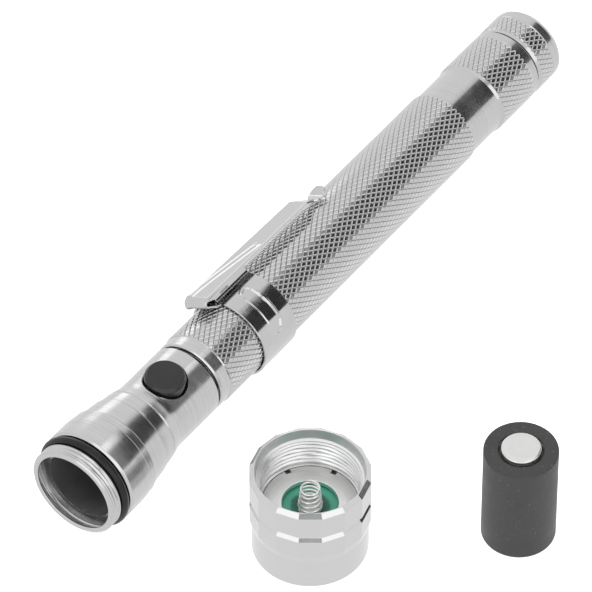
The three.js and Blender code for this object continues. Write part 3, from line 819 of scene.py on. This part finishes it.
def barrel():
    inner, _, start, end = turned_size("barrel_tube", TOOL)
    chamfer, rear_r = 0.3, CREST_R - 0.02
    collar = [(inner, start + chamfer), (inner, start, 0.1), (COLLAR_R - chamfer, start, 0.1),
              (COLLAR_R, start + chamfer, 0.15), (COLLAR_R, LONG_KNURL[0] - 0.25, 0.05),
              (CREST_R - 0.12, LONG_KNURL[0] - 0.05)]
    band = [(BAND_R, LONG_KNURL[1] + 0.1, 0.04), (BAND_R, 129.15, 0.08), (rear_r, REAR_KNURL[0] - 0.12)]
    rear = [(rear_r, REAR_KNURL[1] + 0.1), (rear_r, end - chamfer, 0.15), (CREST_R - chamfer, end, 0.08),
            (inner, end, 0.1), (inner, end - chamfer)]
    sections = [rounded(collar, closed=False), LONG_KNURL, rounded(band, closed=False), REAR_KNURL,
                rounded(rear, closed=False)]
    knurled_piece("barrel_tube", sections, [turned_aluminium, knurled_aluminium])
    keep_node("rear_plug", turned_aluminium)


def tail():
    _, _, start, end = turned_size("tail_cap", TOOL)
    bore_r, bore_end, seat_r, seat, vent_r = 5.5, 146.6, 5.1, 147.2, 0.4
    front = [(bore_r, start + 0.3), (bore_r, start, 0.1), (CREST_R - 0.4, start, 0.08),
             (CREST_R - 0.04, TAIL_KNURL[0] - 0.12)]
    rear = [(CREST_R - 0.05, TAIL_KNURL[1] + 0.1), (CREST_R, TAIL_KNURL[1] + 0.35, 0.1),
            (CREST_R, end - 0.9, 1.2), (CREST_R - 0.75, end, 0.5), (seat_r, end, 0.1), (seat_r, seat, 0.1),
            (vent_r, seat, 0), (vent_r, bore_end, 0), (bore_r, bore_end, 0.1), (bore_r, start + 0.3)]
    sections = [rounded(front, closed=False), TAIL_KNURL, rounded(rear, closed=False)[:-1]]
    knurled_piece("tail_cap", sections, [turned_aluminium, knurled_aluminium])
    simple_piece("tail_magnet", TOOL, nickel, 0.3, 72)


# ---- The pocket clip ----------------------------------------------------------------------------

SHEET = 0.5
NECK_HALF_WIDTH = 1.5
NECK_REACH = 2.5  # how far the neck runs on in front of the band, into the arm's root
NECK_DROP = 0.25  # how much lower the neck is there, which leaves the arm room to spring
# The pressed beads, as lines of (degrees round the band, place).
MAIN_BEAD = [(28, 53.2), (25.5, 54.3), (27, 55.0), (31, 55.4), (60, 55.6), (87, 55.6), (96, 54.9),
             (100, 54.1), (100, 53.0)]
FINE_BEAD = [(38, 52.65), (82, 52.65)]
BEAD_ANGLES = (math.radians(15), math.radians(110))  # the side of the band that holds the beads


def distance_to(line, point):
    """Distance from a point to a line of points, both flat."""
    nearest = math.inf
    for a, b in zip(line, line[1:]):
        leg = b - a
        part = min(max((point - a).dot(leg) / leg.length_squared, 0), 1)
        nearest = min(nearest, (a + leg * part - point).length)
    return nearest


def band_height(angle, along, outer):
    """How far the pressed beads stand above the band."""
    mm_per_degree = math.radians(1) * outer
    here = Vector((math.degrees(angle) * mm_per_degree, along))

    def bead(line, width, height):
        scaled = [Vector((degrees * mm_per_degree, at)) for degrees, at in line]
        return height * (1 - blend(0.3 * width, width, distance_to(scaled, here)))

    return bead(MAIN_BEAD, 0.42, 0.38) + bead(FINE_BEAD, 0.24, 0.16)


def clip_band():
    """One strip bent round the barrel, whose ends turn up into the neck under the arm."""
    points = points_in("clip_band", CLIP)
    start, end = min(p.y for p in points), max(p.y for p in points)
    neck_top = max(p.z for p in points)
    inner_r = min(math.hypot(p.x, p.z) for p in points)
    outer_r = inner_r + SHEET
    side = NECK_HALF_WIDTH
    fillet = 0.75
    fillet_rise = math.sqrt((outer_r + fillet) ** 2 - (side + fillet) ** 2)
    foot_angle = math.atan2(side + fillet, fillet_rise)
    low, high = BEAD_ANGLES
    fine_steps, coarse_steps = 190, 90
    angles = [foot_angle] + [low + (high - low) * i / fine_steps for i in range(fine_steps)]
    angles += [high + (FULL_TURN - foot_angle - high) * i / coarse_steps for i in range(coarse_steps + 1)]
    path = [(turn(outer_r, angle, 0), turn(1, angle, 0), angle) for angle in angles if angle >= foot_angle]
    bend_steps = 10
    half = []
    for i in range(1, bend_steps + 1):
        arm = turn(1, math.pi + foot_angle + (math.pi / 2 - foot_angle) * i / bend_steps, 0)
        half.append((Vector((side + fillet, 0, fillet_rise)) + arm * fillet, -arm))
    bevel = 0.3
    for z in (fillet_rise + 0.3, neck_top - bevel - 0.1, neck_top - bevel):
        half.append((Vector((side, 0, z)), Vector((1, 0, 0))))
    half.append((Vector((side - bevel, 0, neck_top)), Vector((0, 0, 1))))
    mirror = Matrix.Diagonal((-1, 1, 1))
    path += [(mirror @ point, mirror @ out, None) for point, out in half]
    path += [(point, out, None) for point, out in reversed(half)]
    rows_along, edge = 80, 0.12
    places = [start + edge + (end - start - 2 * edge) * i / rows_along for i in range(rows_along + 1)]
    places = [start, start + edge * 0.4] + places + [end - edge * 0.4, end]
    shape = Shape()
    outer_rows, inner_rows = [], []
    for k, along in enumerate(places):
        inset = (edge, edge * 0.35, 0)[min(k, len(places) - 1 - k, 2)]
        outside, inside = [], []
        for point, out, angle in path:
            on_neck = angle is None
            lift = 0 if on_neck else band_height(angle, along, outer_r)
            forward = on_neck * blend(outer_r + 0.3, outer_r + 1.8, point.z) * (end - along) / (end - start)
            spot = Vector((0, along - NECK_REACH * forward, -NECK_DROP * forward))
            outside.append(point + out * (lift - inset) + spot)
            inside.append(point + out * (inset - SHEET) + spot)
        outer_rows.append(shape.row(outside))
        inner_rows.append(shape.row(inside))
    shape.skin(outer_rows)
    shape.skin(inner_rows)
    shape.strip(outer_rows[0], inner_rows[0])
    shape.strip(outer_rows[-1], inner_rows[-1])
    build_on_tool(shape, "clip_band")


def build_on_tool(shape, node):
    """Makes a clip piece whose shape is in the clip's place, and gives it the tool's place."""
    shape.points = [CLIP_ON_TOOL @ point for point in shape.points]
    build("fine_" + node, shape, TOOL, [clip_steel], node)


def bent_line(corners, fillet, step):
    """Points and outward normals at even steps along a rounded line of (along, rise) corners."""
    line = [Vector(p) for p in rounded([(*corner, fillet) for corner in corners], closed=False)]
    lengths = [0.0]
    for a, b in zip(line, line[1:]):
        lengths.append(lengths[-1] + (b - a).length)
    count = math.ceil(lengths[-1] / step)
    points = []
    for k in range(count + 1):
        target = lengths[-1] * k / count
        i = max(n for n in range(len(lengths) - 1) if lengths[n] <= target + 1e-9)
        part = (target - lengths[i]) / max(lengths[i + 1] - lengths[i], 1e-9)
        points.append(line[i].lerp(line[i + 1], min(part, 1)))
    normals = []
    for k in range(count + 1):
        run = points[min(k + 1, count)] - points[max(k - 1, 0)]
        normals.append(Vector((-run.y, run.x)).normalized())
    return points, normals


# (place, rise over the tool's axis) along the middle of the strip, from its root to its tip.
ARM_LINE = [(48.85, 8.5), (48.3, 8.62), (46.6, 9.3), (45.55, 9.75), (45.55, 10.5), (46.5, 11.15),
            (78.8, 10.7), (82.2, 8.9), (83.6, 8.95), (85.6, 9.9)]
ARM_WIDTHS = [(45.2, 5.2), (46.0, 5.8), (78.8, 4.8), (80.4, 2.6), (81.6, 1.7)]
ARM_DISC_R = 1.95
BAND_MIDDLE_R = 8.45
EMBOSS_LINE = [(45.2, -3.0), (49.6, -2.75), (53.3, -2.1), (59.2, -0.85), (64.7, 0.4)]


def between(table, value):
    """A table's value, with straight lines between its entries."""
    if value <= table[0][0]:
        return table[0][1]
    for (a, low), (b, high) in zip(table, table[1:]):
        if value <= b:
            return low + (high - low) * (value - a) / (b - a)
    return table[-1][1]


def clip_arm():
    """One sprung strip: folded root, long flat arm with a pressed ridge, foot and upturned disc."""
    points, normals = bent_line(ARM_LINE, 0.7, 0.25)
    top = max(range(len(points)), key=lambda k: points[k].y)
    tip = max(p.y for p in points_in("clip_arm", CLIP))
    disc_at = tip - ARM_DISC_R
    columns = 80
    shape = Shape()
    outer_rows, inner_rows = [], []

    def half_width(k):
        along = points[k].x
        strip = between(ARM_WIDTHS, along) / 2
        disc = math.sqrt(max(ARM_DISC_R**2 - (along - disc_at) ** 2, 0))
        return max(strip if along < disc_at else 0, disc, 0.05)

    def emboss(k, x):
        along = points[k].x if k >= top // 2 else 2 * points[top].x - points[k].x
        away = x - between(EMBOSS_LINE, along)
        fade = 1 - blend(63.8, 65.0, along)
        root = blend(0, 1, k / max(top // 2, 1))
        groove = -0.4 * (1 - blend(0.05, 0.22, abs(away)))
        ridge = 0.3 * blend(0.1, 0.3, away) * (1 - blend(0.3, 1.9, away))
        return (groove + ridge) * fade * root

    def root_hug(k):
        return blend(46.0, 48.6, points[k].x) if k < top // 2 else 0

    edge = 0.1
    for k, (point, normal) in enumerate(zip(points, normals)):
        half = half_width(k)
        outside, inside = [], []
        for c in range(columns + 1):
            x = half * (2 * c / columns - 1)
            inset = edge * (1 - blend(0, 2.5, min(c, columns - c)))
            lift = emboss(k, x) - inset
            hug = (BAND_MIDDLE_R - math.sqrt(BAND_MIDDLE_R**2 - x**2)) * root_hug(k)
            for side, offset in ((outside, SHEET / 2 + lift), (inside, inset - SHEET / 2)):
                spot = point + normal * offset
                side.append(Vector((x, spot.x, spot.y - hug)))
        outer_rows.append(shape.row(outside))
        inner_rows.append(shape.row(inside))
    shape.skin([outer + inner[::-1] for outer, inner in zip(outer_rows, inner_rows)])
    shape.strip(outer_rows[0], inner_rows[0], closed=False)
    shape.strip(outer_rows[-1], inner_rows[-1], closed=False)
    build_on_tool(shape, "clip_arm")


# ---- The head cap -------------------------------------------------------------------------------

CAP_SIDES = 16
FACET_COLUMNS = [0.5, 1.0, 3.5, 6.0, 8.5, 11.25, 14.0, 16.5, 19.0, 21.5, 22.0]  # degrees over one side


def cap_shell():
    """A round body that swells into a 16-sided grip band with a V groove, threaded inside."""
    _, corner_r, _, height = turned_size("cap_shell", CAP)
    side = FULL_TURN / CAP_SIDES
    corner = max(points_in("cap_shell", CAP), key=lambda p: math.hypot(p.x, p.z))
    corner_angle = math.atan2(corner.x, corner.z)
    angles = [corner_angle + i * side + math.radians(d) for i in range(CAP_SIDES) for d in FACET_COLUMNS]
    flat_r = corner_r * math.cos(side / 2)
    body_r, lip_r, lip_end, seat_r, mouth_r, chamfer = 11.0, 8.2, 1.0, 8.7, 10.1, 0.8
    swell_start, swell_end = height - 13.3, height - 11.4
    groove_depth, groove_middle = 0.7, height - 6.6
    groove_low, groove_high = height - 7.3, height - 5.9
    _, plate_r, _, plate_top = turned_size("cap_plate", CAP)
    mouth_floor, board_top = height - 2.4, turned_size("led_board", CAP)[3]
    ledge_r = plate_r + 0.05
    thread = {"start": plate_top + 0.3, "end": mouth_floor - 0.3, "crest": 9.65, "depth": 0.35, "pitch": 1.0}
    outer = [
        (lip_r, lip_end, 0.1), (lip_r, 0, 0.3), (body_r - 0.45, 0, 0.4), (body_r, 0.5, 0.4),
        (body_r, swell_start, 0.6), (flat_r, swell_end, 0.15), (flat_r, groove_low, 0.05),
        (flat_r - groove_depth, groove_middle, 0.1), (flat_r, groove_high, 0.05),
        (flat_r, height - chamfer, 0.05), (flat_r - chamfer, height, 0.05), (mouth_r + 0.3, height, 0.05),
        (mouth_r + 0.2, height - 0.15, 0.1), (mouth_r, mouth_floor, 0.15),
        (thread["crest"], mouth_floor - 0.2, 0.05), (thread["crest"], thread["end"]),
    ]
    steps, length = 60, thread["end"] - thread["start"]
    inner = [(thread["crest"], thread["end"] - length * (i + 1) / steps) for i in range(steps)]
    rest = [(thread["crest"], thread["start"]), (ledge_r, plate_top + 0.1, 0.05), (ledge_r, board_top, 0.1),
            (seat_r, board_top, 0.1), (seat_r, lip_end, 0.1), (lip_r, lip_end)]

    def radius_at(radius, along, angle):
        if radius > mouth_r + 0.4 and along > swell_start:
            offset = (angle - corner_angle) % side - side / 2
            faceted = radius / math.cos(offset)
            return radius + (faceted - radius) * blend(swell_start, swell_end, along)
        if thread["start"] < along < thread["end"] and radius < mouth_r:
            return thread_radius(angle, along, thread)
        return radius

    outline = rounded(outer, closed=False)[1:] + inner + rounded(rest, closed=False)[1:]
    shape = Shape()
    shape.lathe(outline, angles, radius_at=radius_at)
    # The faces inside the mouth and the bore take the lighter copy of the aluminium, which is painted light.
    shape.repaint(1, lambda radius, along: radius < mouth_r + 0.25 and along > board_top)
    build("fine_cap_shell", shape, CAP, [cap_aluminium, cap_bore_painted_light], "cap_shell")


def cap_plate():
    """The bright ring over the board, with spanner notches in its edge."""
    inner, outer, start, end = turned_size("cap_plate", CAP)
    notch_count, half_width, depth = 6, 0.6, 0.8
    rim = [p for p in points_in("cap_plate", CAP) if math.hypot(p.x, p.z) < outer - 0.5]
    notch = min((p for p in rim if math.hypot(p.x, p.z) > inner + 1), key=lambda p: abs(p.x))
    first = math.atan2(notch.x, notch.z) - math.atan2(half_width, outer - depth)
    half = half_width / outer
    angles, radii = [], []
    for i in range(notch_count):
        middle_angle = first + i / notch_count * FULL_TURN
        for offset in (-half, -half * 0.98, 0, half * 0.98, half):
            angles.append(middle_angle + offset)
            radii.append(outer - depth if abs(offset) < half * 0.99 else outer)
        gap = FULL_TURN / notch_count - 2 * half
        for k in range(1, 16):
            angles.append(middle_angle + half + gap * k / 16)
            radii.append(outer)
    limit = dict(zip(angles, radii))
    outline = cylinder_outline((inner, outer, start, end), 0.15)

    def radius_at(radius, along, angle):
        return min(radius, limit[angle] - (outer - radius if radius > outer - 0.3 else 0))

    turned_piece("cap_plate", CAP, outline, [plate_nickel], angles=angles, radius_at=radius_at)


def sweep(shape, line, radius, sides=10):
    """A round wire along a line of points, closed at both ends."""
    rows = []
    for i, point in enumerate(line):
        run = (line[min(i + 1, len(line) - 1)] - line[max(i - 1, 0)]).normalized()
        across = run.cross(Vector((0, 1, 0))).normalized()
        over = across.cross(run)
        arms = [across * math.cos(angle) + over * math.sin(angle) for angle in even_angles(sides)]
        rows.append(shape.row([point + arm * radius for arm in arms]))
    shape.skin(rows)
    shape.fan(rows[0], line[0])
    shape.fan(rows[-1], line[-1])


def contact_spring():
    """A tapered coil spring with closed rings at its foot and its top, soldered to the board."""
    _, foot_reach, start, end = turned_size("contact_spring", CAP)
    wire_r = 0.22
    foot_r, top_r = foot_reach - wire_r, 1.75
    turns, ring_turns, steps = 5.5, 1.0, 28
    low, high = start + wire_r, end - wire_r
    line = []
    for i in range(round(turns * steps) + 1):
        done = i / steps
        climb = min(max((done - ring_turns) / (turns - 2 * ring_turns), 0), 1)
        ring_rise = 0.25 * (min(done, ring_turns) - ring_turns) + 0.5 * max(done - turns + ring_turns, 0)
        height = low + 0.3 + (high - low - 0.8) * climb + ring_rise
        line.append(turn(foot_r + (top_r - foot_r) * climb, done * FULL_TURN, height))
    shape = Shape()
    sweep(shape, line, wire_r)
    build("fine_contact_spring", shape, CAP, [spring_nickel], "contact_spring")


def solder_blob():
    """The tinned joint that holds the spring's foot."""
    board_top = turned_size("led_board", CAP)[3]
    foot = math.radians(-20)
    where = CAP @ Matrix.Translation(turn(2.6, foot, board_top) * MM)
    outline = [(0, -0.05), (1.25, -0.05, 0), (1.2, 0.08, 0.2), (0.7, 0.38, 0.5), (0, 0.5)]

    def uneven(radius, along, angle):
        return radius * (1 + 0.14 * math.sin(2 * angle) + 0.05 * math.sin(5 * angle))

    shape = Shape()
    shape.lathe(rounded(outline, closed=False), even_angles(28), "solid", uneven)
    build("solder_blob", shape, where, [spring_nickel], "contact_spring", replaces=False)


def lights():
    """The three lights and the magnet between them, in their white holder."""
    keep_node("led_holder", holder_white)
    simple_piece("head_magnet", CAP, nickel, 0.25, 48)
    dome_steps = 8
    for i in range(1, 4):
        node = f"led_{i}"
        foot = middle(node)
        foot.z = 0
        where = place(foot, CAP.col[0].to_3d(), CAP.col[1].to_3d())
        _, flange_r, start, end = turned_size(node, where)
        body_r = flange_r - 0.3
        dome = [(0, start)]
        for k in range(1, dome_steps + 1):
            angle = math.pi / 2 * k / dome_steps
            dome.append((body_r * math.sin(angle), start + body_r * (1 - math.cos(angle))))
        base = [dome[-1], (body_r, end - 1), (flange_r, end - 1), (flange_r, end), (0, end)]
        outline = dome[:-1] + rounded(base, 0.1, closed=False)
        turned_piece(node, where, outline, [led_resin], 40, "solid")


def cap():
    cap_shell()
    cap_plate()
    simple_piece("led_board", CAP, board_green, 0.05, 64)
    contact_spring()
    solder_blob()
    lights()


# ---- The battery pack ---------------------------------------------------------------------------


def battery_pack():
    hole_r, outer, start, end = turned_size("battery_sleeve", PACK)
    cell_r = turned_size("cell_1", PACK)[1]
    bore_r, bore_start, bore_end = cell_r + 0.15, start + 1.3, end - 0.5
    sleeve = [(hole_r, start, 0.35), (outer, start, 0.35), (outer, end, 0.25), (hole_r, end, 0.2),
              (hole_r, bore_end, 0.15), (bore_r, bore_end, 0.1), (bore_r, bore_start, 0.1),
              (hole_r, bore_start, 0.25)]
    turned_piece("battery_sleeve", PACK, rounded(sleeve), [sleeve_black], 96)
    terminal_r = 3.8
    gasket_r = terminal_r + 0.45
    for i in range(1, 5):
        node = f"cell_{i}"
        _, outer, start, end = turned_size(node, PACK)
        shoulder = start + 4.1
        gasket = shoulder - 0.25
        cell = [(0, start), (outer, start, 0.3), (outer, shoulder, 0.35), (gasket_r, shoulder, 0.1),
                (gasket_r, gasket, 0.02), (terminal_r, gasket, 0.02), (terminal_r, end, 0.42), (0, end)]
        shape = Shape()
        shape.lathe(rounded(cell, closed=False), even_angles(72), "solid")
        shape.repaint(1, lambda radius, along: terminal_r - 0.01 < radius < gasket_r + 0.01
                      and along < gasket + 0.1)
        build("fine_" + node, shape, PACK, [cell_nickel, black_plastic], node)


# ---- Studio -------------------------------------------------------------------------------------

CAMERA_DISTANCE = 1250
CAMERA_AZIMUTH = math.radians(35.95)
CAMERA_ELEVATION = math.radians(47.12)
CAMERA_LENS = 396.1
CAMERA_AIM = (3.0, 66.7, 8.0)  # from the bench point under the head's rim
FLOOR_HALF_SIZE = 6000
FLOOR_GLOW = 0.6
WORLD_STRENGTH = 1.0
SOFTBOX_X, SOFTBOX_Y, SOFTBOX_HEIGHT = (-20, 110), (100, 232), 400


def glowing_card(name, points, faces, strength):
    """A card seen only in reflections, from points in millimetres. Returns its node tree and glow."""
    mesh = bpy.data.meshes.new(name)
    mesh.from_pydata([Vector(point) * MM for point in points], [], faces)
    made = bpy.data.materials.new(name)
    made.use_nodes = True
    tree = made.node_tree
    tree.nodes.clear()
    glow = add(tree, "ShaderNodeEmission", {"Strength": strength})
    add(tree, "ShaderNodeOutputMaterial", {"Surface": glow.outputs[0]})
    mesh.materials.append(made)
    card = add_object(name, mesh)
    card.visible_camera = False
    card.visible_shadow = False
    card.visible_diffuse = False
    return tree, glow


def flat_card(name, corners, strength):
    glowing_card(name, corners, [(0, 1, 2, 3)], strength)


def curved_card(name, columns, rows, strength, point_at):
    """A glowing card with its points at point_at(share across, share up)."""
    points = [point_at(i / columns, j / rows) for i in range(columns + 1) for j in range(rows + 1)]
    faces = []
    for i in range(columns):
        for j in range(rows):
            corner = i * (rows + 1) + j
            faces.append((corner, corner + 1, corner + rows + 2, corner + rows + 1))
    return glowing_card(name, points, faces, strength)


def floor():
    size = FLOOR_HALF_SIZE
    mesh = bpy.data.meshes.new("floor")
    corners = [(-size, -size, 0), (size, -size, 0), (size, size, 0), (-size, size, 0)]
    mesh.from_pydata([Vector(corner) * MM for corner in corners], [], [(0, 1, 2, 3)])
    glow = {"Specular IOR Level": 0.0, "Emission Color": (1, 1, 1, 1), "Emission Strength": FLOOR_GLOW}
    made, _, _ = finish("floor", (0.92, 0.92, 0.92), 0.9, 0.0, **glow)
    mesh.materials.append(made)
    plane = add_object("floor", mesh)
    plane.visible_glossy = False
    under = [Vector(corner) - Vector((0, 0, 0.5)) for corner in corners]
    flat_card("floor_reflection", under, 1.0)


def world():
    made = bpy.data.worlds.new("studio")
    made.use_nodes = True
    sockets = made.node_tree.nodes["Background"].inputs
    sockets["Color"].default_value = (1, 1, 1, 1)
    sockets["Strength"].default_value = WORLD_STRENGTH
    bpy.context.scene.world = made


def soft_light(name, at, size, power):
    """A large area light that faces the bench and doesn't show in reflections."""
    lamp = bpy.data.lights.new(name, "AREA")
    lamp.shape = "DISK"
    lamp.size = size * MM
    lamp.energy = power
    light = add_object(name, lamp)
    light.location = Vector(at) * MM
    light.rotation_euler = (-Vector(at)).to_track_quat("-Z", "Y").to_euler()
    light.visible_glossy = False
    light.visible_camera = False


def dark_card():
    """A dark arc about the tool's direction, to the upper right behind it, with one soft edge."""
    radius, near, far = 1000, 520, 1700
    start, end = math.radians(-6), math.radians(69.4)
    soft_end, dark = math.radians(6), 0.045

    def point_at(across, up):
        return turn(radius, start + (end - start) * across, near + (far - near) * up)

    tree, glow = curved_card("dark_card", 24, 1, 1.0, point_at)
    parts = add(tree, "ShaderNodeSeparateXYZ", {0: object_position(tree)})
    angle = math_node(tree, "ARCTAN2", parts.outputs["X"], parts.outputs["Z"])
    tree.links.new(spread(tree, angle, 1.0, dark, start, soft_end), glow.inputs["Strength"])


def clip_card():
    """A bright strip to the left, near enough to shine only along the clip's ridge."""
    radius, near, far = 200, 150, 225
    low, high = (turn(radius, math.radians(degrees), 0) for degrees in (-84, -60))
    centre = TOOL.translation / MM
    ends = ((low, near), (low, far), (high, far), (high, near))
    flat_card("clip_card", [centre + side + Vector((0, y, 0)) for side, y in ends], 1.8)


def front_softbox():
    """A bright curved card behind the camera, which forward and upward chamfers reflect."""
    radius = 1800
    left, right = math.radians(-20), math.radians(90)
    low, high = math.radians(8), math.radians(55)

    def point_at(across, up):
        azimuth = left + (right - left) * across
        rise = low + (high - low) * up
        flat = radius * math.cos(rise)
        return (flat * math.sin(azimuth), -flat * math.cos(azimuth), radius * math.sin(rise))

    curved_card("front_softbox", 22, 8, 1.5, point_at)


def camera():
    across = Vector((math.sin(CAMERA_AZIMUTH), -math.cos(CAMERA_AZIMUTH), 0))
    towards = across * math.cos(CAMERA_ELEVATION) + Vector((0, 0, math.sin(CAMERA_ELEVATION)))
    rim = TOOL.translation
    aim = Vector((rim.x, rim.y, 0)) + Vector(CAMERA_AIM) * MM
    lens = bpy.data.cameras.new("camera")
    lens.lens = CAMERA_LENS
    lens.sensor_width = 36
    lens.clip_end = 50
    eye = add_object("camera", lens)
    eye.location = aim + towards * CAMERA_DISTANCE * MM
    eye.rotation_euler = towards.to_track_quat("Z", "Y").to_euler()
    bpy.context.scene.camera = eye
    return aim, towards


def camera_card(aim, towards):
    """A small dark card round the camera, which the facets that face it reflect."""
    half_size = 250
    centre = aim / MM + towards * (CAMERA_DISTANCE + 60)
    across = Vector((towards.y, -towards.x, 0)).normalized() * half_size
    up = towards.cross(across).normalized() * half_size
    corners = [centre - across - up, centre + across - up, centre + across + up, centre - across + up]
    flat_card("camera_card", corners, 0.42)


def studio():
    floor()
    world()
    aim, towards = camera()
    dark_card()
    (left, right), (near, far) = SOFTBOX_X, SOFTBOX_Y
    corners = [(left, near), (right, near), (right, far), (left, far)]
    flat_card("softbox", [(x, y, SOFTBOX_HEIGHT) for x, y in corners], 1.9)
    clip_card()
    front_softbox()
    camera_card(aim, towards)
    soft_light("key", (-500, -300, 1200), 900, 7.0)
    soft_light("fill", (700, 200, 1100), 900, 4.5)
    bpy.context.scene.view_settings.view_transform = "Standard"


# ---- Everything ---------------------------------------------------------------------------------

studio()
head_housing()
o_ring()
battery_bore()
button()
neck()
tubes()
barrel()
tail()
clip_band()
clip_arm()
cap()
battery_pack()
